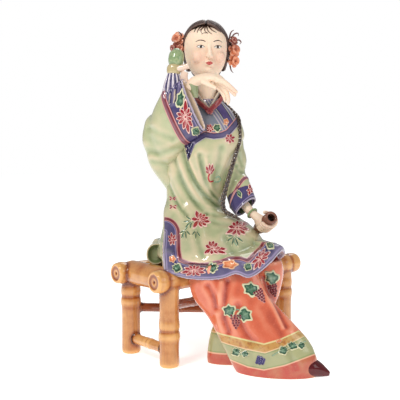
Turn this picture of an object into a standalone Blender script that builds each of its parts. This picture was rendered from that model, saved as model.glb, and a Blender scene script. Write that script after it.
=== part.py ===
"""A glazed ceramic lady in an embroidered robe, seated askew on a ceramic bamboo bench with a short flute in her hand.

Metres, +Z up. The bench's long side runs along X and its front faces -Y. The origin is on the floor, at the middle
of the whole object's footprint.
"""

import math

import bmesh
import bpy
from mathutils import Matrix, Vector

# Driving sizes of the bench
SEAT_HEIGHT = 0.084
LEG_SPAN = 0.139
LEG_DEPTH = 0.058
LEG_DIAMETER = 0.0175
LONG_RAIL_DIAMETER = 0.0185
SHORT_RAIL_DIAMETER = 0.0215
RAIL_OVERHANG = 0.0135
SLAT_DIAMETER = 0.009
SLAT_COUNT = 4
SEAT_PANEL_THICKNESS = 0.005
STRETCHER_DIAMETER = 0.0095
LEFT_STRETCHER_HEIGHT = 0.014
RIGHT_STRETCHER_HEIGHT = 0.042
BRACE_DIAMETER = 0.0086
BRACE_LOW_START, BRACE_LOW_END = 0.042, 0.029
BRACE_HIGH_START, BRACE_HIGH_END = 0.053, 0.037

# Driving sizes of the flute
FLUTE_DIAMETER = 0.0116
FLUTE_BORE = 0.006
FLUTE_BORE_DEPTH = 0.009
FLUTE_LENGTH = 0.030

# Driving sizes of the lady
SITTING_HEIGHT = 0.221
LADY_TURN = math.radians(-39.6)
REST_GAP = 0.0003
VOXEL = 1.5
FOLD_DEPTH = 1.6
LADY_TRIANGLES = 5450
SHARP_ANGLE = math.radians(50)

# VOXEL and the fold depths are in the lady's units too. FOLD_DEPTH is a share of each fold's own depth.
# The lady's own proportions are in 1/221 of her sitting height, which is a millimetre at her real size.
# x runs to her left, y behind her and z up, from the floor below the middle of the bench.
UNIT = SITTING_HEIGHT / 221
SEAT_IN_UNITS = 84
HALF_DEPTH_IN_UNITS = 29


def empty_the_scene():
    for thing in list(bpy.data.objects):
        bpy.data.objects.remove(thing)


def material(name, colour, roughness, metallic=0.0):
    made = bpy.data.materials.new(name)
    made.use_nodes = True
    shader = made.node_tree.nodes["Principled BSDF"]
    shader.inputs["Base Color"].default_value = (*colour, 1.0)
    shader.inputs["Roughness"].default_value = roughness
    shader.inputs["Metallic"].default_value = metallic
    return made


def add_object(name, mesh, finish=None, collection=None):
    made = bpy.data.objects.new(name, mesh)
    (collection or bpy.context.scene.collection).objects.link(made)
    if finish is not None:
        mesh.materials.append(finish)
    return made


def mesh_from(shape, name):
    bmesh.ops.recalc_face_normals(shape, faces=shape.faces[:])
    mesh = bpy.data.meshes.new(name)
    shape.to_mesh(mesh)
    shape.free()
    mesh.shade_smooth()
    mesh.set_sharp_from_angle(angle=SHARP_ANGLE)
    return mesh


def hide_as_tool(thing):
    thing.hide_render = True
    thing.display_type = "WIRE"


def smooth_rows(rows, steps):
    """Catmull-Rom rows through rows of numbers, with steps between each pair."""
    ends = [rows[0], *rows, rows[-1]]
    made = []
    for k in range(1, len(ends) - 2):
        a, b, c, d = ends[k - 1 : k + 3]
        for step in range(steps):
            t = step / steps
            made.append(
                [
                    0.5 * (2 * q + (r - p) * t + (2 * p - 5 * q + 4 * r - s) * t**2 + (3 * q - p - 3 * r + s) * t**3)
                    for p, q, r, s in zip(a, b, c, d)
                ]
            )
    made.append(list(rows[-1]))
    return made


def smooth_loop(points, steps):
    """The same through a closed loop of points."""
    count = len(points)
    wrapped = [points[(k - 1) % count] for k in range(count + 3)]
    rows = smooth_rows(wrapped, steps)
    return rows[steps : steps * (count + 1)]


def ring_loft(shape, rings, sides):
    """A closed skin through rings, each a function from a share of a turn to a point. The first rim is extruded
    from ring to ring, and each vertex keeps its share of the turn in a layer."""
    layer = shape.verts.layers.float.get("turn") or shape.verts.layers.float.new("turn")
    made = bmesh.ops.create_circle(shape, segments=sides, radius=1.0, cap_ends=False)
    rim = made["verts"]
    for v in rim:
        v[layer] = (math.atan2(v.co.y, v.co.x) / math.tau) % 1.0
        v.co = rings[0](v[layer])
    edges = list({e for v in rim for e in v.link_edges})
    first_edges = edges
    for ring in rings[1:]:
        grown = bmesh.ops.extrude_edge_only(shape, edges=edges)["geom"]
        for v in grown:
            if isinstance(v, bmesh.types.BMVert):
                v.co = ring(v[layer])
        edges = [e for e in grown if isinstance(e, bmesh.types.BMEdge)]
        rim = [v for v in grown if isinstance(v, bmesh.types.BMVert)]
        edges = [e for e in edges if e.verts[0] in rim and e.verts[1] in rim]
    bmesh.ops.holes_fill(shape, edges=first_edges + edges, sides=0)


def oval(centre, across, deep, power=2.0):
    """A ring round centre, with half-axes across and deep. A power above 2 squares it off."""

    def point(turn):
        c, s = math.cos(math.tau * turn), math.sin(math.tau * turn)
        wide = math.copysign(abs(c) ** (2 / power), c)
        far = math.copysign(abs(s) ** (2 / power), s)
        return centre + across * wide + deep * far

    return point


def limb(shape, stations, side, sides=20, steps=4, power=2.0):
    """A closed limb or cloth tube along stations (x, y, z, half width along side, half depth), in the lady's units."""
    rows = smooth_rows(stations, steps)
    centres = [Vector(r[:3]) for r in rows]
    side = Vector(side).normalized()
    rings = []
    for k, (row, centre) in enumerate(zip(rows, centres)):
        along = (centres[min(k + 1, len(rows) - 1)] - centres[max(k - 1, 0)]).normalized()
        deep = along.cross(side).normalized()
        across = deep.cross(along).normalized()
        rings.append(oval(centre, across * max(row[3], 0.2), deep * max(row[4], 0.2), power))
    ring_loft(shape, rings, sides)


def tower(shape, stations, sides=28, steps=4):
    """A closed form along stations (x, y, z, half width, half depth), every ring of it level."""
    rings = [
        oval(Vector(row[:3]), Vector((row[3], 0, 0)), Vector((0, row[4], 0))) for row in smooth_rows(stations, steps)
    ]
    ring_loft(shape, rings, sides)


def ball(shape, centre, radii, turn=0.0, segments=20):
    """An ellipsoid round centre, turned about the vertical."""
    place = Matrix.Translation(centre) @ Matrix.Rotation(turn, 4, "Z") @ Matrix.Diagonal((*radii, 1.0))
    bmesh.ops.create_uvsphere(shape, u_segments=segments, v_segments=segments // 2, radius=1.0, matrix=place)


# The bench: round bamboo canes with a bulge at each joint of the cane
def cane(name, start, end, diameter, joints, collection, grow=0.0, sides=14, capped=False):
    """One bamboo cane from start to end, with joints at these shares of its length."""
    start, end = Vector(start), Vector(end)
    radius = diameter / 2 + grow
    along = (end - start).normalized()
    start, end = start - along * grow, end + along * grow
    length = (end - start).length
    bulge, waist, groove = 1.07, 0.95, 0.97
    profile = [(0.0, 0.93), (0.015 / max(length / 0.1, 0.6), 1.0)]
    for joint in joints:
        half = 0.05 * diameter / 0.0175 * 0.1 / length
        profile += [(joint - 2.2 * half, waist + 0.05), (joint - half, bulge), (joint, groove + 0.03)]
        profile += [(joint + half, bulge), (joint + 2.2 * half, waist + 0.05)]
    profile += [(1.0 - 0.015 / max(length / 0.1, 0.6), 1.0), (1.0, 0.93)]
    for before, after in zip(joints, joints[1:]):
        profile.append(((before + after) / 2, waist))
    profile.sort()
    side = along.orthogonal().normalized()
    if abs(along.x) > 0.5:
        side = Vector((0, 0, 1)) - along * along.z
        side.normalize()
    deep = along.cross(side)
    shape = bmesh.new()
    rings = [
        oval(start + along * length * share, side * radius * swell, deep * radius * swell) for share, swell in profile
    ]
    ring_loft(shape, rings, sides)
    if capped:
        for face in [f for f in shape.faces if len(f.verts) == sides]:
            cut_cane_end(shape, face, radius)
    made = add_object(name, mesh_from(shape, name), collection=collection)
    hide_as_tool(made)
    return made


def cut_cane_end(shape, face, radius):
    """A sawn cane end: a raised rim, a shallow dish and the small hollow in the middle."""
    outward = face.normal.copy() if face.normal.length else Vector((1, 0, 0))
    middle = face.calc_center_median()
    body = sum((v.co for v in shape.verts), Vector()) / len(shape.verts)
    if outward.dot(middle - body) < 0:
        outward.negate()
    for inset, push in ((0.24, 0.0), (0.16, -0.08), (0.24, 0.05), (0.06, -0.2)):
        bmesh.ops.inset_region(shape, faces=[face], thickness=radius * inset, use_even_offset=False)
        bmesh.ops.translate(shape, verts=face.verts[:], vec=outward * radius * push)


def bench_canes(collection, grow=0.0):
    """Every cane and the panel of the bench, grown by grow all round."""
    leg_x, leg_y = LEG_SPAN / 2, LEG_DEPTH / 2
    rail_z = SEAT_HEIGHT - LONG_RAIL_DIAMETER / 2
    rail_x = leg_x + RAIL_OVERHANG
    made = []
    for side, y in (("front", -leg_y), ("back", leg_y)):
        name = f"{side}_rail"
        ends = ((-rail_x, y, rail_z), (rail_x, y, rail_z))
        made.append(cane(name, *ends, LONG_RAIL_DIAMETER, (0.05, 0.5, 0.95), collection, grow, capped=True))
    for end, x in (("left", -leg_x), ("right", leg_x)):
        ends = ((x, -leg_y, rail_z), (x, leg_y, rail_z))
        made.append(cane(f"{end}_short_rail", *ends, SHORT_RAIL_DIAMETER, (), collection, grow))
        for side, y in (("front", -leg_y), ("back", leg_y)):
            joint = 0.42 if (end, side) == ("left", "front") else 0.70
            ends = ((x, y, -grow), (x, y, rail_z))
            made.append(cane(f"{side}_{end}_leg", *ends, LEG_DIAMETER, (joint,), collection, grow))
    for end, x, z in (("left", -leg_x, LEFT_STRETCHER_HEIGHT), ("right", leg_x, RIGHT_STRETCHER_HEIGHT)):
        ends = ((x, -leg_y, z), (x, leg_y, z))
        made.append(cane(f"{end}_stretcher", *ends, STRETCHER_DIAMETER, (0.5,), collection, grow, sides=10))
    low = ((-leg_x, leg_y, BRACE_LOW_START), (leg_x, -leg_y, BRACE_LOW_END))
    high = ((-leg_x, -leg_y, BRACE_HIGH_START), (leg_x, leg_y, BRACE_HIGH_END))
    for name, ends in (("low_brace", low), ("high_brace", high)):
        made.append(cane(name, *ends, BRACE_DIAMETER, (0.3, 0.7), collection, grow, sides=8))
    panel_top = rail_z + LONG_RAIL_DIAMETER * 0.1
    panel_low = panel_top - SEAT_PANEL_THICKNESS
    if grow:
        made.append(seat_block(panel_low - grow, panel_top + SLAT_DIAMETER / 2 + grow, collection))
        return made
    made.append(seat_block(panel_low, panel_top, collection))
    step = (LEG_DEPTH - LONG_RAIL_DIAMETER) / SLAT_COUNT
    for k in range(SLAT_COUNT):
        y = (k - (SLAT_COUNT - 1) / 2) * step
        ends = ((-leg_x, y, panel_top), (leg_x, y, panel_top))
        made.append(cane(f"slat_{k + 1}", *ends, SLAT_DIAMETER, (), collection, sides=8))
    return made


def seat_block(low, high, collection):
    """The board between the rails, or the room that the board and its slats take up."""
    shape = bmesh.new()
    place = Matrix.Translation((0, 0, (low + high) / 2)) @ Matrix.Diagonal((LEG_SPAN, LEG_DEPTH, high - low, 1.0))
    bmesh.ops.create_cube(shape, size=1.0, matrix=place)
    made = add_object("seat_block", mesh_from(shape, "seat_block"), collection=collection)
    hide_as_tool(made)
    return made


def join_by(thing, collection, operation):
    """A Boolean of thing with everything in collection."""
    cut = thing.modifiers.new(operation.lower(), "BOOLEAN")
    cut.operation = operation
    cut.solver = "EXACT"
    cut.operand_type = "COLLECTION"
    cut.collection = collection


def new_collection(name):
    made = bpy.data.collections.new(name)
    bpy.context.scene.collection.children.link(made)
    return made


def bamboo_bench(finish):
    parts = new_collection("bench_canes")
    canes = bench_canes(parts)
    first = canes[0]
    parts.objects.unlink(first)
    bpy.context.scene.collection.objects.link(first)
    first.name = "bamboo_bench"
    first.data.materials.append(finish)
    first.hide_render = False
    first.display_type = "TEXTURED"
    join_by(first, parts, "UNION")
    return first


# The lady's forms, each a closed shape that overlaps its neighbours
def robe_torso(shape):
    stations = (
        (2, -27, 92, 50, 57),
        (2, -26, 99, 49, 55),
        (1, -21, 108, 45.5, 48),
        (-2, -15, 116, 41, 40),
        (-8, -10, 124, 34.5, 32),
        (-13.5, -7, 132, 27.5, 26),
        (-14, -5, 140, 26, 23),
        (-12, -5, 152, 28, 23),
        (-8, -7, 172, 32, 25),
        (-3, -8, 192, 33, 25),
        (-1, -4, 208, 30, 20),
        (-1, 0, 219, 25, 15),
        (-1, 1, 227, 17, 12),
        (-1, 2, 235, 10.5, 10.5),
    )
    tower(shape, stations)


# The robe's hem, from the corner at her right knee round the front to her left knee, behind her and back
HEM = (
    (-38, -70, 84),
    (-22, -75, 78),
    (-5, -79, 77),
    (10, -86, 79.5),
    (21, -90, 84),
    (31, -88, 80.5),
    (41, -83, 84),
    (52, -76, 92),
    (61, -65, 99),
    (66, -50, 95),
    (64, -34, 88),
    (56, -12, 85),
    (42, 12, 84),
    (22, 34, 82),
    (-6, 42, 80),
    (-32, 38, 82),
    (-49, 20, 85),
    (-55, -2, 88),
    (-50, -22, 89),
    (-43, -46, 89),
)
LAP_MIDDLE = (4, -28)
LAP_TOP = 106.0
LEAST_RISE = 8.0


def lap_height(y):
    """The height of the cloth over her thighs, lower at the knees and behind."""
    return LAP_TOP - 0.0012 * (y + 15) ** 2


def robe_lap(shape, steps=4):
    """The robe's skirt as one draped cushion: a rim that follows the hem, a hollow below it and the lap above."""
    loop = [Vector(p) for p in smooth_loop(HEM, steps)]
    count = len(loop)
    middle = Vector((*LAP_MIDDLE, 0))

    def ring(share, height):
        def point(turn):
            hem = loop[round(turn * count) % count]
            flat = middle.xy.lerp(hem.xy, share)
            return Vector((*flat, height(hem, flat)))

        return point

    def over(share):
        drop = (1 - share**5) ** (1 / 5)
        return ring(share, lambda hem, flat: hem.z + (max(lap_height(flat.y), hem.z + LEAST_RISE) - hem.z) * drop)

    rings = [
        ring(0.3, lambda hem, flat: 88),
        ring(0.86, lambda hem, flat: hem.z + 5),
        ring(0.935, lambda hem, flat: hem.z + 1),
        ring(0.965, lambda hem, flat: hem.z),
    ]
    rings += [over(share) for share in (1.0, 0.995, 0.975, 0.93, 0.85, 0.7, 0.5, 0.25)]
    ring_loft(shape, rings, count)


def right_sleeve(shape):
    """The raised arm: a wide sleeve that hangs from the wrist and gapes towards her chin."""
    limb(shape, ((-22, 2, 214, 15, 15), (-36, 1, 203, 18, 16), (-46, -2, 186, 16, 17)), (0, 1, 0))
    ball(shape, (-44, -4, 184), (17.5, 17, 25))
    limb(shape, ((-45, -1, 172, 12, 14), (-39, -1, 157, 9, 14), (-33, -2, 143, 7, 12)), (1, 0, 0))
    bag = (
        (-51, -7, 186, 12, 8),
        (-47, -9, 189, 22, 14),
        (-39.5, -17, 200, 26, 17),
        (-30.4, -27, 214, 27, 14),
        (-21, -32, 221, 27, 11.5),
        (-12, -35, 227, 26.5, 10),
    )
    limb(shape, bag, (0.45, 0, -0.89), sides=24)
    gather = (
        (-33, -28, 232, 10, 8),
        (-32.5, -29, 246, 8.2, 7.5),
        (-32.3, -29, 255, 5.8, 5.8),
        (-31.5, -28, 259, 5.6, 5.6),
        (-30, -26, 265, 6.8, 6.8),
        (-29.4, -24, 271, 6.2, 6.2),
        (-29.2, -23, 276, 2.5, 2.5),
    )
    limb(shape, gather, (1, 0, 0))


def left_sleeve(shape):
    """The lowered arm, with its cuff open above her hand."""
    arm = (
        (20, 0, 214, 9, 11),
        (19, -1, 200, 12, 13),
        (19.5, -4, 184, 13, 13),
        (21, -8, 170, 13.5, 13),
        (26, -14, 156, 12, 12),
        (31, -19, 143, 10.5, 11),
        (33.5, -21.5, 137, 8.5, 9),
    )
    limb(shape, arm, (1, 0, 0))
    limb(shape, ((30, -18, 143, 4.6, 4.6), (35, -23, 133, 4.2, 4.2), (40, -28, 126, 4.6, 4.6)), (1, 0, 0), sides=12)


def trousers(shape):
    """Two wide legs: her left goes down behind, her right crosses in front of it and flares over the foot."""
    thigh = ((-22, -18, 92, 16, 11), (0, -52, 91, 17, 11), (14, -70, 86, 20, 13))
    limb(shape, thigh, (0.8, 0.6, 0))
    front = (
        (12, -66, 88, 22, 12),
        (15, -70, 74, 28, 13),
        (22, -74, 57, 26.5, 13),
        (35, -79, 38, 28, 14),
        (46, -83, 22, 31, 16),
        (54, -85, 8, 35, 17),
        (55, -85, 0, 35, 17),
        (55, -85, -6, 33, 16),
    )
    limb(shape, front, (0.97, -0.2, 0.1), sides=28)
    thigh = ((2, -4, 92, 15, 11), (28, -34, 92, 16, 11), (50, -56, 88, 14, 12))
    limb(shape, thigh, (0.8, 0.6, 0))
    back = (
        (50, -52, 90, 12, 12),
        (50, -52, 80, 14.5, 13),
        (44, -53, 64, 17, 12),
        (34, -54, 46, 19, 11),
        (22, -54, 26, 20.5, 10),
        (18, -54, 8, 20.5, 10),
        (18, -54, 0, 20, 10),
        (18, -54, -6, 19, 9),
    )
    limb(shape, back, (1, 0, 0), sides=24)


def shoe_toe(shape):
    limb(shape, ((72, -90, 8, 12, 10), (84, -91, 6, 10, 9), (92, -91.5, 3.5, 6.5, 6), (98, -92, 1, 3, 3)), (0, 1, 0))


HEAD_TURN = math.radians(8)


def head_and_neck(shape):
    limb(shape, ((-1, 1, 228, 10, 10), (-2, -1, 244, 8.6, 9), (-3, -2, 262, 9, 10)), (1, 0, 0))
    skull = (
        (-2, -19, 252.6, 4, 3),
        (-2.2, -17, 255, 9, 7.5),
        (-2.8, -12, 261, 15, 14),
        (-3.2, -8, 268, 18.4, 18.4),
        (-3.5, -5, 277, 20, 21.5),
        (-3.5, -3, 286, 20, 23.5),
        (-3.5, -2, 294, 17.5, 21),
        (-3.5, -2, 300, 12.5, 15),
        (-3.5, -2, 303, 5, 6),
    )
    limb(shape, skull, (math.cos(HEAD_TURN), math.sin(HEAD_TURN), 0), sides=28)
    nose = ((-1, -24.5, 281, 1.5, 1.5), (-0.6, -27, 274, 1.9, 2), (-0.5, -27.6, 270, 2.4, 2), (-0.5, -25.5, 267.6, 2, 1))
    limb(shape, nose, (1, 0, 0), sides=10)
    ball(shape, (-0.5, -25.6, 262), (4.2, 2.4, 2.2), HEAD_TURN, 12)


def hair(shape):
    """Parted hair combed back over the ears, with a knot and a cluster of flowers at each side."""
    ball(shape, (-6, 2.5, 283), (20, 24, 22), 0, 24)
    ball(shape, (-0.5, 2.5, 283), (20.5, 24, 22), 0, 24)
    for side in (-1, 1):
        middle = -3 + side * 20
        limb(shape, ((middle, 0, 288, 6, 12), (middle + side, 3, 272, 5, 12), (middle, 5, 260, 3, 9)), (1, 0, 0))
        ball(shape, (-3 + side * 25, 7, 280), (5.5, 7, 9), 0, 14)
    ball(shape, (-3, 16, 262), (15, 10, 11))


FLOWERS = (
    ((-31.5, 1, 289), 5.0),
    ((-33, 3, 283), 5.0),
    ((-32, 1, 277), 4.4),
    ((26, 2, 284), 4.0),
    ((28, 3, 277), 5.0),
    ((28, 2, 270), 5.0),
    ((26, 3, 264), 4.0),
)


def hair_flowers(shape):
    """Open blossoms of five petals round a bead, pressed into the knots of hair."""
    petals = 5
    for middle, size in FLOWERS:
        ball(shape, middle, (size * 0.5, size * 0.6, size * 0.6), 0, 10)
        for k in range(petals):
            turn = math.tau * k / petals
            offset = Vector((0.1, math.cos(turn), math.sin(turn))) * size * 0.62
            ball(shape, Vector(middle) + offset, (size * 0.42, size * 0.5, size * 0.5), 0, 10)


BRAID = (
    (0, 15, 254, 5, 5),
    (6, 11, 241, 4.2, 4.2),
    (12, 7, 230, 3.6, 3.6),
    (21, 1, 222, 3, 3),
    (26.5, -7, 215, 2.7, 2.7),
    (27.5, -14, 206, 2.5, 2.5),
    (27, -18.5, 194, 2.6, 2.6),
    (22.5, -25, 180, 2.9, 2.9),
    (18, -29, 165, 3.2, 3.2),
    (13.5, -29.5, 150, 3.3, 3.3),
    (11, -29.5, 139, 3.2, 3.2),
    (13.5, -31, 131.5, 2.9, 2.9),
    (20, -34, 127.5, 2.3, 2.3),
    (27, -36, 124, 1.6, 1.6),
)


def braid(shape):
    """One long plait over her left shoulder, its strands a row of slanted beads."""
    limb(shape, BRAID, (1, 0, 0), sides=10)
    rows = smooth_rows(BRAID, 3)
    for k, row in enumerate(rows[9:]):
        lean = 0.5 if k % 2 else -0.5
        ball(shape, (row[0] + lean, row[1] - 0.5, row[2]), (row[3] * 1.12, row[3], 1.9), 0, 8)


def finger(shape, joints, thick, thin):
    """A finger through its joints, from thick at the knuckle to thin at the tip."""
    last = len(joints) - 1
    stations = [(*p, thick + (thin - thick) * k / last, thick + (thin - thick) * k / last) for k, p in enumerate(joints)]
    limb(shape, stations, (0, 1, 0.3), sides=10, steps=3)
    ball(shape, joints[-1], (thin, thin, thin), 0, 8)


def right_hand(shape):
    """Bent at the wrist below her chin, the fingers drooping to her left."""
    palm = (
        (-18, -31, 240, 5, 5),
        (-14, -33, 247, 5.2, 4.8),
        (-7, -36, 250.5, 6.2, 4.6),
        (3, -39, 251.3, 7, 4.4),
        (10, -42, 248.5, 6.6, 4),
        (13, -43.5, 246.5, 5.5, 3.4),
    )
    limb(shape, palm, (0, 1, 0.2), sides=16)
    finger(shape, ((11, -47, 247), (17, -49, 242), (21, -50, 237.5), (24.5, -51, 234.5)), 2.4, 1.3)
    finger(shape, ((12, -43.5, 246.5), (18, -45.5, 240.5), (22, -47, 236), (25, -48, 232.5)), 2.4, 1.3)
    finger(shape, ((11, -40, 245), (16, -42, 238), (18.5, -43.5, 232), (19.5, -44.5, 227)), 2.3, 1.3)
    finger(shape, ((9, -37, 244), (13.5, -39, 236.5), (15.5, -41, 230.5), (16.5, -42.5, 225.5)), 2.1, 1.2)
    finger(shape, ((-6, -41, 247), (-1, -44, 244), (4, -45.5, 241.5)), 2.4, 1.6)


# The flute: its near end, and the way it points out of her hand
FLUTE_END = Vector((54, -47, 127))
FLUTE_WAY = Vector((0.30, -0.86, 0.42)).normalized()


def left_hand(shape):
    """A loose fist round the flute: the palm above it and four fingers under it."""
    grip = FLUTE_END - FLUTE_WAY * 13
    ball(shape, grip + Vector((-4.5, 2, 1.5)), (7, 9, 7.5), 0.4, 14)
    radius = FLUTE_DIAMETER / UNIT / 2 + 1.1
    across = FLUTE_WAY.cross(Vector((0, 0, 1))).normalized()
    over = across.cross(FLUTE_WAY)
    for k in range(4):
        middle = grip + FLUTE_WAY * (6.6 - 3.9 * k)
        joints = [
            middle + across * math.cos(a) * radius + over * math.sin(a) * radius
            for a in (math.radians(x) for x in (150, 200, 250, 300, 335))
        ]
        finger(shape, joints, 2.3, 1.6)
    thumb = [grip + across * x + over * z + FLUTE_WAY * y for x, y, z in ((-6, -2, 4), (-2, 3, 7.2), (3, 7, 7.0))]
    finger(shape, thumb, 2.5, 1.8)


# Folds pressed into the cloth: the view they are drawn in, half width, depth and the line
FOLDS = (
    ("front", 2.6, 2.2, ((-26, 188), (-20, 172), (-14, 158), (-4, 142), (8, 130))),
    ("front", 2.4, 1.8, ((-10, 180), (-6, 164), (1, 148), (9, 136), (18, 128))),
    ("front", 2.4, 1.5, ((-30, 178), (-27, 160), (-22, 145), (-14, 130), (-4, 120))),
    ("front", 2.2, 1.3, ((6, 178), (8, 162), (13, 146))),
    ("front", 2.2, 1.2, ((-34, 150), (-30, 138), (-24, 128))),
    ("front", 2.0, 1.5, ((-58, 188), (-48, 182), (-36, 184))),
    ("front", 2.2, 1.5, ((-52, 168), (-44, 172), (-34, 176))),
    ("front", 2.0, 1.2, ((32, 190), (26, 186), (20, 187))),
    ("front", 2.0, 1.2, ((34, 172), (27, 168), (21, 170))),
    ("top", 3.0, 1.8, ((-30, -30), (-20, -50), (-14, -74))),
    ("top", 3.0, 1.6, ((4, -34), (12, -58), (17, -74))),
    ("top", 3.0, 1.6, ((24, -26), (38, -46), (46, -56))),
    ("front", 3.0, 2.4, ((2, 70), (8, 52), (13, 34))),
    ("front", 3.0, 1.6, ((22, 70), (30, 52), (44, 34))),
    ("front", 2.6, 1.6, ((40, 66), (50, 48), (62, 34))),
    ("back", 3.0, 2.2, ((-20, 205), (-16, 170), (-13, 140), (-20, 110))),
    ("back", 3.0, 2.2, ((14, 205), (2, 170), (-6, 140), (4, 110))),
    ("back", 3.0, 1.8, ((-34, 190), (-28, 165), (-24, 140))),
)


def distance_to_line(point, line):
    best = 1e9
    for a, b in zip(line, line[1:]):
        a, b = Vector(a), Vector(b)
        share = max(0.0, min(1.0, (point - a).dot(b - a) / (b - a).length_squared))
        best = min(best, (point - a - (b - a) * share).length)
    return best


def press_folds(shape):
    """Each fold sinks the cloth along its line, with a low ridge on either side."""
    views = {"front": (0, 2, Vector((0, -1, 0))), "back": (0, 2, Vector((0, 1, 0))), "top": (0, 1, Vector((0, 0, 1)))}
    shape.normal_update()
    moves = {}
    for view, width, depth, line in FOLDS:
        first, second, facing = views[view]
        line = [tuple(p) for p in smooth_rows(line, 4)]
        low = [min(p[k] for p in line) - 3 * width for k in (0, 1)]
        high = [max(p[k] for p in line) + 3 * width for k in (0, 1)]
        for v in shape.verts:
            a, b = v.co[first], v.co[second]
            lit = v.normal.dot(facing)
            if lit < 0.2 or not (low[0] < a < high[0] and low[1] < b < high[1]):
                continue
            far = distance_to_line(Vector((a, b)), line) / width
            sink = math.exp(-far * far) - 0.45 * math.exp(-((far - 1.9) ** 2))
            moves[v] = moves.get(v, 0.0) + FOLD_DEPTH * depth * sink * min(1.0, lit * 1.6)
    for v, depth in moves.items():
        v.co -= v.normal * depth


def onto_the_bench(point):
    """From the lady's units to metres: above the seat she keeps her own size, below it she reaches the floor."""
    if point.z > SEAT_IN_UNITS:
        height = SEAT_HEIGHT + (point.z - SEAT_IN_UNITS) * UNIT
    else:
        height = point.z * SEAT_HEIGHT / SEAT_IN_UNITS
    return Vector((point.x * UNIT, point.y * UNIT, height))


def lady_forms():
    shape = bmesh.new()
    for form in (
        robe_torso,
        robe_lap,
        right_sleeve,
        left_sleeve,
        trousers,
        shoe_toe,
        head_and_neck,
        hair,
        hair_flowers,
        braid,
        right_hand,
        left_hand,
    ):
        form(shape)
    return mesh_from(shape, "lady_forms")


def evaluated_mesh(thing):
    bpy.context.view_layer.update()
    graph = bpy.context.evaluated_depsgraph_get()
    return bpy.data.meshes.new_from_object(thing.evaluated_get(graph))


def keep_the_outer_skin(shape):
    """Fills the sealed pockets between the forms, by leaving only the widest connected skin."""
    waiting = set(shape.verts)
    skins = []
    while waiting:
        grown = [waiting.pop()]
        for v in grown:
            near = {e.other_vert(v) for e in v.link_edges} & waiting
            waiting -= near
            grown.extend(near)
        skins.append(grown)
    skins.sort(key=len)
    for inner in skins[:-1]:
        bmesh.ops.delete(shape, geom=inner, context="VERTS")


def melt(mesh):
    """One closed skin round everything in a mesh, a little softened."""
    rough = add_object("lady_forms", mesh)
    remesh = rough.modifiers.new("melt", "REMESH")
    remesh.mode = "VOXEL"
    remesh.voxel_size = VOXEL
    skin = bmesh.new()
    skin.from_mesh(evaluated_mesh(rough))
    bpy.data.objects.remove(rough)
    keep_the_outer_skin(skin)
    bmesh.ops.smooth_vert(skin, verts=skin.verts[:], factor=0.5, use_axis_x=True, use_axis_y=True, use_axis_z=True)
    return skin


def stand_on_the_floor(skin):
    """Cuts off what is below the floor, with a flat base."""
    cut = bmesh.ops.bisect_plane(
        skin, geom=[*skin.verts, *skin.edges, *skin.faces], plane_co=(0, 0, 0), plane_no=(0, 0, 1), clear_inner=True
    )
    rim = [e for e in cut["geom_cut"] if isinstance(e, bmesh.types.BMEdge)]
    bmesh.ops.holes_fill(skin, edges=rim, sides=0)


def lady(finish, place):
    """The forms melt into one skin, the folds are pressed in, and the bench and the flute are cut out of it."""
    skin = melt(lady_forms())
    press_folds(skin)
    skin = melt(mesh_from(skin, "lady_folds"))
    stand_on_the_floor(skin)
    for v in skin.verts:
        v.co = onto_the_bench(v.co)
    made = add_object("lady", mesh_from(skin, "lady"), finish)
    made.parent = place
    thin = made.modifiers.new("thin", "DECIMATE")
    thin.ratio = min(1.0, LADY_TRIANGLES / (2 * len(made.data.polygons)))
    thin.use_collapse_triangulate = True
    return made


def flute_frame(place):
    """The flute's own frame: its near end at the origin, pointing out along +Z."""
    turn = Vector((0, 0, 1)).rotation_difference(FLUTE_WAY).to_matrix().to_4x4()
    made = bpy.data.objects.new("flute_place", None)
    bpy.context.scene.collection.objects.link(made)
    made.parent = place
    made.matrix_local = Matrix.Translation(onto_the_bench(FLUTE_END)) @ turn
    return made


def flute(finish, frame):
    """A short thick bamboo flute with a ring at its end and a bore."""
    radius, bore = FLUTE_DIAMETER / 2, FLUTE_BORE / 2
    profile = (
        (bore, -FLUTE_BORE_DEPTH),
        (bore, 0.0),
        (radius * 0.9, 0.0),
        (radius, -radius * 0.1),
        (radius, -FLUTE_LENGTH + radius * 0.1),
        (radius * 0.9, -FLUTE_LENGTH),
    )
    shape = bmesh.new()
    rings = [oval(Vector((0, 0, z)), Vector((r, 0, 0)), Vector((0, r, 0))) for r, z in profile]
    ring_loft(shape, rings, 20)
    made = add_object("flute", mesh_from(shape, "flute"), finish)
    made.parent = frame
    return made


def flute_cutter(frame, collection):
    shape = bmesh.new()
    radius = FLUTE_DIAMETER / 2 + REST_GAP
    bmesh.ops.create_cone(
        shape,
        cap_ends=True,
        segments=20,
        radius1=radius,
        radius2=radius,
        depth=FLUTE_LENGTH + 2 * REST_GAP,
        matrix=Matrix.Translation((0, 0, -FLUTE_LENGTH / 2)),
    )
    made = add_object("flute_clearance", mesh_from(shape, "flute_clearance"), collection=collection)
    made.parent = frame
    hide_as_tool(made)


def centre_on_floor(things, roots):
    """Moves the roots so that the box round things stands on the floor with the origin at its middle."""
    bpy.context.view_layer.update()
    graph = bpy.context.evaluated_depsgraph_get()
    corners = [t.matrix_world @ v.co for t in things for v in t.evaluated_get(graph).to_mesh().vertices]
    low = [min(c[k] for c in corners) for k in range(3)]
    high = [max(c[k] for c in corners) for k in range(3)]
    shift = Vector((-(low[0] + high[0]) / 2, -(low[1] + high[1]) / 2, -low[2]))
    for root in roots:
        root.location += shift


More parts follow.
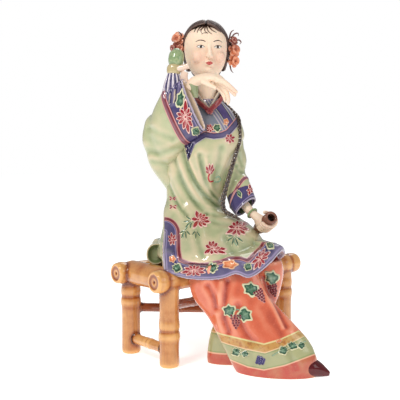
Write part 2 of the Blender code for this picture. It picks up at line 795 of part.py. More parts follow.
def main():
    empty_the_scene()
    bamboo_glaze = material("honey_glaze", (0.62, 0.36, 0.14), 0.25)
    robe_glaze = material("celadon_glaze", (0.56, 0.60, 0.38), 0.2)
    flute_glaze = material("brown_glaze", (0.20, 0.07, 0.04), 0.35)
    bench = bamboo_bench(bamboo_glaze)
    place = bpy.data.objects.new("lady_place", None)
    bpy.context.scene.collection.objects.link(place)
    place.rotation_euler = (0, 0, LADY_TURN)
    place.location = (0, -(LEG_DEPTH / 2 - HALF_DEPTH_IN_UNITS * UNIT), 0)
    cutters = new_collection("clearances")
    bench_canes(cutters, REST_GAP)
    frame = flute_frame(place)
    held = flute(flute_glaze, frame)
    flute_cutter(frame, cutters)
    figure = lady(robe_glaze, place)
    join_by(figure, cutters, "DIFFERENCE")
    everything = [bench, figure, held]
    roots = [o for o in bpy.context.scene.objects if o.parent is None]
    centre_on_floor(everything, roots)


main()
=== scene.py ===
import math

import bmesh
import bpy
import numpy as np
from mathutils import Matrix, Vector
from mathutils.bvhtree import BVHTree


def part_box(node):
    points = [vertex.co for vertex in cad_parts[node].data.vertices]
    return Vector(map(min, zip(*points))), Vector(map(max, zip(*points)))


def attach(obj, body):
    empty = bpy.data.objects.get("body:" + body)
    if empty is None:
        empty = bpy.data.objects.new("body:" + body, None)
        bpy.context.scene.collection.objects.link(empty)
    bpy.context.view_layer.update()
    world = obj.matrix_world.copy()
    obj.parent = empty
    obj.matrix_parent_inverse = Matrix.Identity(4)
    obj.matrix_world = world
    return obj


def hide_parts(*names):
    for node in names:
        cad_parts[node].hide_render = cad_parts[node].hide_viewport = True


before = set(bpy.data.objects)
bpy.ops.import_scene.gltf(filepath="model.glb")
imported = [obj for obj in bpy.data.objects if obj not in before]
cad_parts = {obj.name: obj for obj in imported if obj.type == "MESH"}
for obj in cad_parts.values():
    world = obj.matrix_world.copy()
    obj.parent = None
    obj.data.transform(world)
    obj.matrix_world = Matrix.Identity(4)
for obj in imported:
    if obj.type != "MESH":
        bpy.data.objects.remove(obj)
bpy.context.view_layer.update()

# The studio: a pale floor that runs back without an edge, two broad soft lamps and a bright, even room.
# The camera stands a little above her lap and looks at her from the bench's left front corner.
# It is made first, because painted motifs below are placed by the pixel at which the picture shows them.
LADY_TURN = math.radians(-39.6)
PICTURE_PIXELS = 400
FOCAL_PIXELS = 736.9
SENSOR_MM = 36
CAMERA_PITCH = math.radians(4.17)
CAMERA_POINT = Vector((-8.7, -690.1, 189.1))
bench_low, bench_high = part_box("bamboo_bench")
bench_middle = (bench_low + bench_high) / 2
# Her own frame is in millimetres: x to her left, y behind her and z up, from the floor below the bench's
# middle.
LADY_PLACE = (
    Matrix.Translation((bench_middle.x, bench_middle.y, bench_low.z))
    @ Matrix.Rotation(LADY_TURN, 4, "Z")
    @ Matrix.Scale(0.001, 4)
)
LOOKING = Vector((0, math.cos(CAMERA_PITCH), -math.sin(CAMERA_PITCH)))
LOOKING_UP = Vector((0, math.sin(CAMERA_PITCH), math.cos(CAMERA_PITCH)))


def add_to_scene(name, data):
    made = bpy.data.objects.new(name, data)
    bpy.context.scene.collection.objects.link(made)
    return made


camera = add_to_scene("camera", bpy.data.cameras.new("camera"))
camera.data.sensor_width = SENSOR_MM
camera.data.lens = SENSOR_MM * FOCAL_PIXELS / PICTURE_PIXELS
camera.data.clip_start = 0.01
camera.matrix_world = (
    Matrix.Translation(LADY_PLACE @ CAMERA_POINT)
    @ Matrix.Rotation(LADY_TURN, 4, "Z")
    @ Matrix.Rotation(math.pi / 2 - CAMERA_PITCH, 4, "X")
)
bpy.context.scene.camera = camera
bpy.context.scene.view_settings.view_transform = "Standard"


def sight_line(across, down):
    """The way from the camera through a pixel of the picture, in her frame."""
    half = PICTURE_PIXELS / 2
    return (LOOKING * FOCAL_PIXELS + Vector((across - half, 0, 0)) + LOOKING_UP * (half - down)).normalized()


def lamp(name, place, aim, width, watts, colour):
    made = add_to_scene(name, bpy.data.lights.new(name, "AREA"))
    made.data.size = width
    made.data.energy = watts
    made.data.color = colour
    turn = (aim - place).to_track_quat("-Z", "Y").to_matrix().to_4x4()
    made.matrix_world = Matrix.Translation(place) @ turn


CHEST = LADY_PLACE @ Vector((0, 0, 160))
TO_WORLD = Matrix.Rotation(LADY_TURN, 3, "Z")
lamp("key_lamp", CHEST + TO_WORLD @ Vector((-0.5, -0.7, 0.85)), CHEST, 0.32, 6.8, (1.0, 0.985, 0.96))
lamp("fill_lamp", CHEST + TO_WORLD @ Vector((0.85, -0.55, 0.35)), CHEST, 0.5, 1.4, (1.0, 1.0, 1.0))
lamp("back_lamp", CHEST + TO_WORLD @ Vector((0.2, 0.8, 0.8)), CHEST, 0.6, 2.4, (1.0, 1.0, 1.0))

room = bpy.data.worlds.new("room")
bpy.context.scene.world = room
room.use_nodes = True
ROOM_LIGHT = 0.4
backdrop = room.node_tree.nodes["Background"]
backdrop.inputs["Color"].default_value = (1.0, 1.0, 1.0, 1.0)
seen = room.node_tree.nodes.new("ShaderNodeLightPath").outputs["Is Camera Ray"]
brightness = room.node_tree.nodes.new("ShaderNodeMapRange")
brightness.inputs["To Min"].default_value = ROOM_LIGHT
brightness.inputs["To Max"].default_value = 1.0
room.node_tree.links.new(seen, brightness.inputs["Value"])
room.node_tree.links.new(brightness.outputs["Result"], backdrop.inputs["Strength"])

FLOOR_WIDTH = 8.0
floor_shape = bmesh.new()
bmesh.ops.create_grid(floor_shape, x_segments=2, y_segments=2, size=FLOOR_WIDTH / 2)
bmesh.ops.translate(floor_shape, verts=floor_shape.verts, vec=(0, 0, bench_low.z - 0.0002))
floor_mesh = bpy.data.meshes.new("floor")
floor_shape.to_mesh(floor_mesh)
floor_shape.free()
floor = add_to_scene("floor", floor_mesh)
floor_paint = bpy.data.materials.new("floor_paint")
floor_paint.use_nodes = True
floor_paint.node_tree.nodes["Principled BSDF"].inputs["Base Color"].default_value = (0.97, 0.97, 0.97, 1.0)
floor_paint.node_tree.nodes["Principled BSDF"].inputs["Roughness"].default_value = 0.9
floor_paint.node_tree.nodes["Principled BSDF"].inputs["Emission Color"].default_value = (1.0, 1.0, 1.0, 1.0)
floor_paint.node_tree.nodes["Principled BSDF"].inputs["Emission Strength"].default_value = 0.62
floor_mesh.materials.append(floor_paint)

# The robe: cast stoneware, about four millimetres thick, covered in a pale green crackle glaze that runs
# thin and cream on the crests of the folds and pools green in the hollows, a darker green that is also
# painted shade. It is lofted from level rings, melted into one skin, and its folds are pressed in where
# the picture shows them.


def on_the_curve(p, q, r, s, t):
    """A number on the smooth curve through p, q, r and s, a share t of the way from q to r."""
    return 0.5 * (2 * q + (r - p) * t + (2 * p - 5 * q + 4 * r - s) * t**2 + (3 * q - p - 3 * r + s) * t**3)


def smooth_rows(rows, steps):
    """Rows of numbers on a smooth curve through the given rows, with steps from one to the next."""
    ends = [rows[0], *rows, rows[-1]]
    made = []
    for k in range(1, len(ends) - 2):
        a, b, c, d = ends[k - 1 : k + 3]
        for step in range(steps):
            made.append([on_the_curve(*numbers, step / steps) for numbers in zip(a, b, c, d)])
    made.append(list(rows[-1]))
    return made


def smooth_loop(points, steps):
    count = len(points)
    wrapped = [points[(k - 1) % count] for k in range(count + 3)]
    return smooth_rows(wrapped, steps)[steps : steps * (count + 1)]


def ring_loft(shape, rings, sides, closed_ends=True, marks=None):
    """A skin through rings, each a function from a share of a turn to a point, extruded from rim to rim.
    marks holds a value for each ring, which its vertices keep."""
    layer = shape.verts.layers.float.get("turn") or shape.verts.layers.float.new("turn")
    mark = shape.verts.layers.float.get("mark") or shape.verts.layers.float.new("mark")
    marks = marks or [0.0] * len(rings)
    rim = bmesh.ops.create_circle(shape, segments=sides, radius=1.0, cap_ends=False)["verts"]
    for v in rim:
        v[layer] = (math.atan2(v.co.y, v.co.x) / math.tau) % 1.0
        v[mark] = marks[0]
        v.co = rings[0](v[layer])
    edges = list({e for v in rim for e in v.link_edges})
    first_edges = edges
    for ring, value in zip(rings[1:], marks[1:]):
        grown = bmesh.ops.extrude_edge_only(shape, edges=edges)["geom"]
        rim = {v for v in grown if isinstance(v, bmesh.types.BMVert)}
        for v in rim:
            v[mark] = value
            v.co = ring(v[layer])
        edges = [e for e in grown if isinstance(e, bmesh.types.BMEdge) and rim.issuperset(e.verts)]
    if closed_ends:
        bmesh.ops.holes_fill(shape, edges=first_edges + edges, sides=0)


def oval(centre, across, deep, power=2.0):
    """A ring round centre with half-axes across and deep. A power above 2 squares it off."""

    def point(turn):
        c, s = math.cos(math.tau * turn), math.sin(math.tau * turn)
        wide = math.copysign(abs(c) ** (2 / power), c)
        far = math.copysign(abs(s) ** (2 / power), s)
        return centre + across * wide + deep * far

    return point


def tower(shape, stations, sides=40, steps=6):
    """A closed form along stations (x, y, z, half width, half depth), every ring of it level."""
    rows = smooth_rows(stations, steps)
    rings = [oval(Vector(r[:3]), Vector((r[3], 0, 0)), Vector((0, r[4], 0))) for r in rows]
    ring_loft(shape, rings, sides)


def limb(shape, stations, side, sides=24, steps=5, power=2.0, closed_ends=True):
    """A tube along stations (x, y, z, half width along side, half depth)."""
    rows = smooth_rows(stations, steps)
    centres = [Vector(r[:3]) for r in rows]
    side = Vector(side).normalized()
    rings = []
    for k, (row, centre) in enumerate(zip(rows, centres)):
        along = (centres[min(k + 1, len(rows) - 1)] - centres[max(k - 1, 0)]).normalized()
        deep = along.cross(side).normalized()
        across = deep.cross(along).normalized()
        rings.append(oval(centre, across * max(row[3], 0.15), deep * max(row[4], 0.15), power))
    ring_loft(shape, rings, sides, closed_ends)


def ball(shape, centre, radii, turn=0.0, segments=24):
    place = Matrix.Translation(centre) @ Matrix.Rotation(turn, 4, "Z") @ Matrix.Diagonal((*radii, 1.0))
    bmesh.ops.create_uvsphere(shape, u_segments=segments, v_segments=segments // 2, radius=1.0, matrix=place)


def keep_the_outer_skin(shape):
    """Leaves only the widest connected skin, so that no sealed pocket stays between the forms."""
    waiting = set(shape.verts)
    skins = []
    while waiting:
        grown = [waiting.pop()]
        for v in grown:
            near = {e.other_vert(v) for e in v.link_edges} & waiting
            waiting -= near
            grown.extend(near)
        skins.append(grown)
    skins.sort(key=len)
    for inner in skins[:-1]:
        bmesh.ops.delete(shape, geom=inner, context="VERTS")


def soften(skin, verts, times):
    for _ in range(times):
        bmesh.ops.smooth_vert(
            skin, verts=verts, factor=0.5, use_axis_x=True, use_axis_y=True, use_axis_z=True)


def melt(shape, grain, softenings, one_skin=True):
    """Melts overlapping closed forms into one skin with facets of the given grain, and softens it."""
    bmesh.ops.recalc_face_normals(shape, faces=shape.faces[:])
    rough = add_to_scene("rough", bpy.data.meshes.new("rough"))
    shape.to_mesh(rough.data)
    shape.free()
    remesh = rough.modifiers.new("melt", "REMESH")
    remesh.mode = "VOXEL"
    remesh.voxel_size = grain
    bpy.context.view_layer.update()
    melted = bpy.data.meshes.new_from_object(rough.evaluated_get(bpy.context.evaluated_depsgraph_get()))
    skin = bmesh.new()
    skin.from_mesh(melted)
    bpy.data.meshes.remove(rough.data)
    bpy.data.meshes.remove(melted)
    if one_skin:
        keep_the_outer_skin(skin)
    soften(skin, skin.verts[:], softenings)
    return skin


def stand_on_the_floor(skin):
    """Cuts off what is below the floor, with a flat base."""
    everything = [*skin.verts, *skin.edges, *skin.faces]
    cut = bmesh.ops.bisect_plane(
        skin, geom=everything, plane_co=(0, 0, 0), plane_no=(0, 0, 1), clear_inner=True,
    )
    rim = [e for e in cut["geom_cut"] if isinstance(e, bmesh.types.BMEdge)]
    bmesh.ops.holes_fill(skin, edges=rim, sides=0)


def skin_places(skin):
    return np.array([v.co for v in skin.verts])


def line_distance(points, line):
    """The distance of each of many points from a line of joined stretches, in two or three dimensions."""
    best = np.full(len(points), 1e9)
    for a, b in zip(line, line[1:]):
        a, b = np.array(a, float), np.array(b, float)
        along = b - a
        share = np.clip((points - a) @ along / max(along @ along, 1e-9), 0, 1)
        best = np.minimum(best, np.linalg.norm(points - a - share[:, None] * along, axis=1))
    return best


def in_the_picture(points):
    """Where the camera sees each of many points of her frame, in pixels."""
    from_camera = points - np.array(CAMERA_POINT)
    depth = from_camera @ np.array(LOOKING)
    across = PICTURE_PIXELS / 2 + FOCAL_PIXELS * from_camera[:, 0] / depth
    down = PICTURE_PIXELS / 2 - FOCAL_PIXELS * (from_camera @ np.array(LOOKING_UP)) / depth
    return np.stack([across, down], axis=1)


def press_folds(skin, folds, view):
    """Presses folds into a skin, each (half width, depth, route) as the picture or the back shows it. A
    negative depth raises a ridge."""
    skin.normal_update()
    places = skin_places(skin)
    normals = np.array([v.normal for v in skin.verts])
    if view == "picture":
        flat, facing = in_the_picture(places), np.array([0.0, -1.0, 0.08])
    else:
        flat, facing = places[:, [0, 2]], np.array([0.0, 1.0, 0.0])
    lit = np.clip(normals @ facing * 1.5, 0, 1)
    moves = np.zeros(len(places))
    for width, depth, route in folds:
        line = smooth_rows(route, 5)
        far = line_distance(flat, line) / width
        moves += depth * (np.exp(-far * far) - 0.4 * np.exp(-((far - 1.9) ** 2)))
    moved = places - normals * (moves * lit)[:, None]
    for v, place in zip(skin.verts, moved):
        v.co = place


def mesh_of(skin, name):
    mesh = bpy.data.meshes.new(name)
    skin.to_mesh(mesh)
    skin.free()
    mesh.shade_smooth()
    return mesh


def vertex_places(mesh):
    places = np.empty(len(mesh.vertices) * 3)
    mesh.vertices.foreach_get("co", places)
    return places.reshape(-1, 3)


def mesh_normals(mesh):
    normals = np.empty(len(mesh.vertices) * 3)
    mesh.vertex_normals.foreach_get("vector", normals)
    return normals.reshape(-1, 3)


def paint_attribute(mesh, name, values):
    mesh.attributes.new(name, "FLOAT", "POINT").data.foreach_set("value", np.asarray(values, np.float32))


def paint_hollows(mesh, reach, full):
    """Stores how deep each point lies in a hollow, from -1 on a crest to 1 in a groove full millimetres
    deep."""
    places = vertex_places(mesh)
    ends = np.empty(len(mesh.edges) * 2, np.int64)
    mesh.edges.foreach_get("vertices", ends)
    a, b = ends.reshape(-1, 2).T
    count = np.bincount(a, minlength=len(places)) + np.bincount(b, minlength=len(places))
    soft = places.copy()
    for _ in range(reach):
        total = np.stack(
            [
                np.bincount(a, soft[b, k], len(places)) + np.bincount(b, soft[a, k], len(places))
                for k in range(3)
            ],
            axis=1,
        )
        soft = total / count[:, None]
    deep = np.einsum("ij,ij->i", soft - places, mesh_normals(mesh))
    paint_attribute(mesh, "hollow", np.clip(deep / full, -1, 1))


def node(tree, kind, inputs=None, **settings):
    """A shader node with its settings, whose inputs take values or links from other nodes' sockets."""
    made = tree.nodes.new("ShaderNode" + kind)
    for name, value in settings.items():
        setattr(made, name, value)
    for socket, value in (inputs or {}).items():
        if isinstance(value, bpy.types.NodeSocket):
            tree.links.new(value, made.inputs[socket])
        else:
            made.inputs[socket].default_value = value
    return made


def maths(tree, operation, first, second=0.0, third=0.0):
    return node(tree, "Math", {0: first, 1: second, 2: third}, operation=operation).outputs[0]


def rising(tree, value, gain, start, top):
    """A mask that rises from 0 as gain times a value plus start, and stops at top."""
    risen = maths(tree, "MULTIPLY_ADD", value, gain, start)
    return maths(tree, "MINIMUM", maths(tree, "MAXIMUM", risen, 0.0), top)


def mix(tree, share, first, second):
    return node(tree, "Mix", {0: share, 6: first, 7: second}, data_type="RGBA").outputs[2]


def rgb(red, green, blue):
    """A colour as it looks on a screen, 0 to 255, turned into a shader's linear colour."""
    return (
        *[(c / 255 / 12.92) if c <= 10 else ((c / 255 + 0.055) / 1.055) ** 2.4 for c in (red, green, blue)],
        1.0,
    )


def stored(tree, name):
    return node(tree, "Attribute", attribute_type="GEOMETRY", attribute_name=name).outputs["Fac"]


def ramp(tree, value, stops):
    """A colour that changes with value, through stops of (value, colour)."""
    made = node(tree, "ValToRGB", {"Fac": value})
    elements = made.color_ramp.elements
    while len(elements) < len(stops):
        elements.new(0.5)
    for element, (place, colour) in zip(elements, stops):
        element.position = place
        element.color = colour
    return made.outputs["Color"]


def stripes(tree, value, reach, stops, blur=0.25):
    """Stripes of flat colour from value 0 to reach, each (where it starts, colour), with edges blur wide."""
    steps = [(0.0, stops[0][1])]
    for (_, before), (start, colour) in zip(stops, stops[1:]):
        steps += [((start - blur) / reach, before), ((start + blur) / reach, colour)]
    return ramp(tree, maths(tree, "DIVIDE", value, reach), steps)


def pooled_and_shaded_glaze_group():
    """Colours a glaze by its thickness: thin and pale on crests, and dark in hollows, where the dark is both
    deeper glaze and painted shade. Cloudy and finely speckled."""
    tree = bpy.data.node_groups.new("pooled_and_shaded_glaze", "ShaderNodeTree")
    for name, kind in (("Glaze", "Color"), ("Crest", "Color"), ("Pool And Shade", "Color"), ("Hollow", "Float")):
        tree.interface.new_socket(name, in_out="INPUT", socket_type=f"NodeSocket{kind}")
    for name in ("Cloud Scale", "Speck Scale", "Strength"):
        tree.interface.new_socket(name, in_out="INPUT", socket_type="NodeSocketFloat")
    tree.interface.new_socket("Color", in_out="OUTPUT", socket_type="NodeSocketColor")
    tree.interface.new_socket("Height", in_out="OUTPUT", socket_type="NodeSocketFloat")
    given = tree.nodes.new("NodeGroupInput").outputs
    place = node(tree, "TexCoord").outputs["Object"]
    cloud = node(tree, "TexNoise", {
        "Vector": place, "Scale": given["Cloud Scale"], "Detail": 4.0,
    }).outputs["Fac"]
    speck = node(tree, "TexNoise", {
        "Vector": place, "Scale": given["Speck Scale"], "Detail": 3.0,
    }).outputs["Fac"]
    drift = maths(tree, "MULTIPLY_ADD", cloud, 1.3, -0.65)
    depth = maths(tree, "ADD", given["Hollow"], drift)
    depth = maths(tree, "MULTIPLY", depth, given["Strength"])
    pale = maths(tree, "MAXIMUM", maths(tree, "MULTIPLY", depth, -1.0), 0.0)
    deep = maths(tree, "MINIMUM", maths(tree, "MAXIMUM", depth, 0.0), 1.0)
    colour = mix(tree, maths(tree, "MINIMUM", pale, 1.0), given["Glaze"], given["Crest"])
    colour = mix(tree, deep, colour, given["Pool And Shade"])
    fleck = maths(tree, "SMOOTH_MIN", maths(tree, "MULTIPLY_ADD", speck, 6.0, -3.4), 1.0, 0.2)
    fleck = maths(tree, "MAXIMUM", fleck, 0.0)
    colour = mix(tree, maths(tree, "MULTIPLY", fleck, 0.22), colour, given["Crest"])
    out = tree.nodes.new("NodeGroupOutput")
    tree.links.new(colour, out.inputs["Color"])
    tree.links.new(maths(tree, "ADD", cloud, maths(tree, "MULTIPLY", speck, 0.4)), out.inputs["Height"])
    return tree


POOLED_AND_SHADED_GLAZE = pooled_and_shaded_glaze_group()


def glaze_material(
    name, colour_of, crest, pool_and_shade, roughness=0.16, coat=0.5, strength=0.8, clouds=70.0, specks=900.0,
):
    """A pooled glaze over one colour, or over what the function colour_of paints into the tree. Its pool
    colour, laid in the hollows, is both pooled glaze and painted shade.
    """
    made = bpy.data.materials.new(name)
    made.use_nodes = True
    tree = made.node_tree
    shader = tree.nodes["Principled BSDF"]
    glaze = tree.nodes.new("ShaderNodeGroup")
    glaze.node_tree = POOLED_AND_SHADED_GLAZE
    base = colour_of(tree) if callable(colour_of) else colour_of
    for socket, value in (("Glaze", base), ("Crest", crest), ("Pool And Shade", pool_and_shade)):
        if callable(value):
            value = value(tree, base)
        if isinstance(value, bpy.types.NodeSocket):
            tree.links.new(value, glaze.inputs[socket])
        else:
            glaze.inputs[socket].default_value = value
    tree.links.new(stored(tree, "hollow"), glaze.inputs["Hollow"])
    glaze.inputs["Cloud Scale"].default_value = clouds
    glaze.inputs["Speck Scale"].default_value = specks
    glaze.inputs["Strength"].default_value = strength
    tree.links.new(glaze.outputs["Color"], shader.inputs["Base Color"])
    bump = node(tree, "Bump", {"Height": glaze.outputs["Height"], "Strength": 0.12, "Distance": 0.0004})
    tree.links.new(bump.outputs["Normal"], shader.inputs["Normal"])
    shader.inputs["Roughness"].default_value = roughness
    shader.inputs["Coat Weight"].default_value = coat
    shader.inputs["Coat Roughness"].default_value = 0.05
    shader.inputs["IOR"].default_value = 1.5
    return made


def lighter(share):
    return lambda tree, base: mix(tree, share, base, rgb(245, 230, 205))


def darker(share):
    return lambda tree, base: mix(tree, share, base, rgb(20, 18, 30))


def past_border(mask, start, share, tint, field):
    """Tints a border as far as a stored distance, start, and gives the field past it a colour of its own."""

    def colour(tree, base):
        on_field = maths(tree, "GREATER_THAN", stored(tree, mask), start)
        return mix(tree, on_field, mix(tree, share, base, tint), field)

    return colour


def finish_piece(name, mesh, material, node_name="lady"):
    """Puts a finished mesh in its place in the world, hangs it on the root body, and hides the part of the
    model that it stands for.
    """
    mesh.transform(LADY_PLACE)
    mesh.materials.append(material)
    piece = add_to_scene(name, mesh)
    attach(piece, "root")
    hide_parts(node_name)


def finish_melted(name, shape, grain, softenings, reach, full, material):
    """Melts a small form into a piece of the lady, with its hollows stored."""
    mesh = mesh_of(melt(shape, grain, softenings), name)
    paint_hollows(mesh, reach, full)
    finish_piece(name, mesh, material)


ROBE_GRAIN = 1.0
TORSO = (
    (2, -27, 92, 50, 57),
    (2, -26, 99, 49, 55),
    (1, -21, 108, 45.5, 48),
    (-2, -15, 116, 41, 40),
    (-8, -10, 124, 34.5, 32),
    (-13.5, -7, 132, 27.5, 26),
    (-14, -5, 140, 26, 23),
    (-12, -5, 152, 28, 23),
    (-8, -7, 172, 32, 25),
    (-3, -8, 192, 33, 25),
    (-1, -4, 208, 30, 20),
    (-1, 0, 219, 25, 15),
    (-1, 1, 227, 17, 12),
    (-1, 2, 233, 11.5, 11),
)
# The hem, from the corner at her right knee round the front to her left knee, behind her and back
HEM = (
    (-38, -70, 84),
    (-22, -75, 78),
    (-5, -79, 77),
    (10, -86, 79.5),
    (21, -90, 84),
    (31, -88, 80.5),
    (41, -83, 84),
    (52, -76, 92),
    (61, -65, 99),
    (66, -50, 95),
    (64, -34, 88),
    (57, -14, 84),
    (46, 4, 86.5),
    (40, 16, 82.5),
    (29, 26, 86),
    (21, 35, 81.5),
    (7, 37, 85),
    (-6, 42.5, 80),
    (-18, 37.5, 84.5),
    (-31, 38.5, 81),
    (-41, 26, 86),
    (-50.5, 16, 83.5),
    (-55, -2, 88),
    (-50, -22, 89),
    (-43, -46, 89),
)
LAP_MIDDLE = Vector((4, -28))
LAP_TOP = 106.0
LEAST_RISE = 8.0


def robe_lap(shape, steps=8):
    """The skirt over her thighs: a rolled rim along the hem, a hollow below it and the lap above."""
    loop = [Vector(p) for p in smooth_loop(HEM, steps)]
    count = len(loop)

    def ring(share, height):
        def point(turn):
            hem = loop[round(turn * count) % count]
            flat = LAP_MIDDLE.lerp(hem.xy, share)
            return Vector((*flat, height(hem, flat)))

        return point

    def over(share):
        drop = (1 - share**5) ** (1 / 5)

        def height(hem, flat):
            lap = LAP_TOP - 0.0012 * (flat.y + 15) ** 2
            return hem.z + (max(lap, hem.z + LEAST_RISE) - hem.z) * drop

        return ring(share, height)

    rings = [
        ring(0.3, lambda hem, flat: 88),
        ring(0.86, lambda hem, flat: hem.z + 5),
        ring(0.94, lambda hem, flat: hem.z + 1),
        ring(0.97, lambda hem, flat: hem.z),
    ]
    rings += [over(share) for share in (1.0, 0.995, 0.975, 0.93, 0.85, 0.7, 0.5, 0.25)]
    ring_loft(shape, rings, count)


# Folds as the picture shows them: half width and depth, then the route in its pixels
ROBE_FOLDS = (
    (3.4, 1.88, ((180, 146), (185, 160), (192, 176), (203, 192), (217, 205), (232, 213))),
    (2.8, 1.33, ((174, 154), (178, 170), (184, 186), (194, 202), (206, 213))),
    (3.0, 1.22, ((200, 156), (203, 172), (208, 188), (218, 201), (230, 209))),
    (3.4, 1, ((222, 148), (219, 166), (214, 182), (216, 194))),
    (2.6, 1.22, ((167, 178), (172, 192), (178, 205), (186, 215))),
    (2.6, 0.89, ((208, 213), (222, 216.5), (236, 216), (246, 219))),
    (2.2, 0.66, ((214, 222), (226, 224), (238, 225))),
    (3.2, 0.89, ((197, 232), (199, 244), (203, 256))),
    (3.4, 1, ((226, 238), (231, 248), (236, 258))),
    (1.5, -0.83, ((186, 148), (190, 162), (197, 178), (208, 194), (222, 206))),
    (1.3, -0.66, ((196, 154), (199, 168), (203, 182), (213, 197), (225, 207))),
    (1.3, -0.56, ((206, 158), (208, 174), (212, 188), (222, 200))),
    (1.3, -0.56, ((170, 182), (176, 196), (183, 208))),
    (1.2, -0.56, ((205, 211), (222, 213.5), (240, 213.5), (250, 218))),
)
BACK_FOLDS = (
    (3.2, 2.0, ((-20, 205), (-16, 175), (-13, 145), (-18, 120), (-24, 100))),
    (3.2, 2.0, ((14, 205), (4, 175), (-4, 145), (2, 120), (10, 100))),
    (2.6, 1.5, ((-34, 192), (-28, 165), (-23, 142))),
    (2.6, 1.4, ((24, 195), (16, 170), (8, 146))),
    (2.8, 1.2, ((-4, 150), (-6, 125), (-8, 98))),
    (2.4, 1.0, ((-30, 140), (-36, 120), (-42, 102))),
    (2.4, 1.0, ((12, 140), (24, 120), (34, 104))),
)

robe_forms = bmesh.new()
tower(robe_forms, TORSO, 48)
robe_lap(robe_forms)
limb(robe_forms, ((-22, 2, 213, 14, 14), (-34, 1, 203, 14, 13), (-38, -2, 190, 10, 12)), (0, 1, 0))
limb(
    robe_forms,
    ((18, 0, 214, 10, 11), (19, -1, 203, 12.9, 13.9), (19.4, -3, 196, 12.8, 13.6), (19, -4, 189, 8, 9)),
    (1, 0, 0),
)
robe_skin = melt(robe_forms, ROBE_GRAIN, 2)
press_folds(robe_skin, ROBE_FOLDS, "picture")
press_folds(robe_skin, BACK_FOLDS, "back")
robe_skin = melt(robe_skin, ROBE_GRAIN, 1)
front_hem = smooth_rows(HEM, 6)
# The side vent: how far forward its slit begins, its edge as the picture shows it, and the picture's scale
# there
SLIT = -8.0
VENT = ((164, 270), (163, 250), (164.5, 232))
VENT_PIXELS_PER_MM = 1.12


def raise_trim(skin, line, narrow, bands):
    """Raises the cast cords and lips that run beside a line. bands holds (distance, half width, height)."""
    places = skin_places(skin)
    skin.normal_update()
    far = line_distance(places, line) * narrow
    lift = sum(height * np.exp(-(((far - at) / half) ** 2)) for at, half, height in bands)
    for v, rise in zip(skin.verts, lift):
        v.co += v.normal * rise


# The blue band of the yoke runs across her chest, as the picture shows it, and level round her back.
YOKE_FRONT = (
    (187, 126), (190, 138), (193, 142), (199, 138), (205, 134.5), (214, 136), (222, 135), (228, 132.5),
    (235, 124.5), (243, 114),
)
YOKE_BACK = (
    (-30, 232), (-26, 214), (-20, 201), (-10, 193), (0, 190), (11, 194), (19, 204), (23, 216), (26, 232),
)
YOKE_RUN = ((214, 98), (219, 106), (224, 113), (229, 121), (233, 129))
YOKE_PIXELS_PER_MM = 1.09
YOKE_FOOT = 165


def yoke_height(places):
    """How far above the lower edge of the yoke's band a point lies, in millimetres."""
    picture = in_the_picture(places)
    flat = places[:, [0, 2]]
    front = line_distance(picture, YOKE_FRONT) / YOKE_PIXELS_PER_MM
    front *= np.sign(np.interp(picture[:, 0], *zip(*YOKE_FRONT)) - picture[:, 1])
    back = line_distance(flat, YOKE_BACK) * np.sign(flat[:, 1] - np.interp(flat[:, 0], *zip(*YOKE_BACK)))
    facing = np.clip((places[:, 1] + 2) / 4, 0, 1)
    return (front * (1 - facing) + back * facing + 4.4) * (places[:, 2] > YOKE_FOOT)


TRIM_RELIEF = ((0.6, 0.9, 0.5), (14.2, 1.3, 0.6))
raise_trim(robe_skin, front_hem, 1.0, TRIM_RELIEF)
robe_heights = yoke_height(skin_places(robe_skin))
robe_skin.normal_update()
for v, rise in zip(robe_skin.verts, 0.45 * np.exp(-(((robe_heights - 4.2) / 2.2) ** 2))):
    v.co += v.normal * rise


def past_the_vent(places):
    """How far in front of the side vent's edge a point lies, in the picture's pixels."""
    picture = in_the_picture(places)
    edge = np.interp(picture[:, 1], [y for _, y in VENT[::-1]], [x for x, _ in VENT[::-1]])
    return np.where(places[:, 1] > SLIT, -30, picture[:, 0] - edge)


# The front panel's edge stands a little proud of the back panel along the vent at her right side.
for v, past in zip(robe_skin.verts, past_the_vent(skin_places(robe_skin))):
    if v.co.x < -20 and v.co.z < 140 and past > -1:
        v.co += v.normal * 1.1 * min(past + 1, 1) * max(1 - past / 22, 0) * min((140 - v.co.z) / 8, 1)
robe_surface = BVHTree.FromBMesh(robe_skin)
robe_mesh = mesh_of(robe_skin, "robe")
robe_places = vertex_places(robe_mesh)
robe_picture = in_the_picture(robe_places)
from_vent = line_distance(robe_picture, VENT) / VENT_PIXELS_PER_MM
from_vent *= np.interp(robe_picture[:, 1], (225, 262), (1.18, 0.92))
behind_vent = past_the_vent(robe_places) < -0.4
from_vent[behind_vent | (robe_places[:, 0] > 20)] = 99
from_hem = line_distance(robe_places, front_hem)
from_hem *= np.where(robe_places[:, 1] < 0, np.interp(robe_picture[:, 0], (246, 268), (1.0, 0.72)), 1.0)
from_hem += behind_vent * np.clip((-28 - robe_places[:, 0]) * 1.3, 0, 99)
front_distance = np.minimum(from_hem, from_vent)
paint_attribute(robe_mesh, "hem", front_distance)
paint_attribute(robe_mesh, "yoke", np.clip(yoke_height(robe_places), 0, 30))
paint_attribute(robe_mesh, "yoke_run", line_distance(robe_picture, YOKE_RUN) + 12 * (robe_places[:, 1] > 0))
paint_hollows(robe_mesh, 16, 0.75)

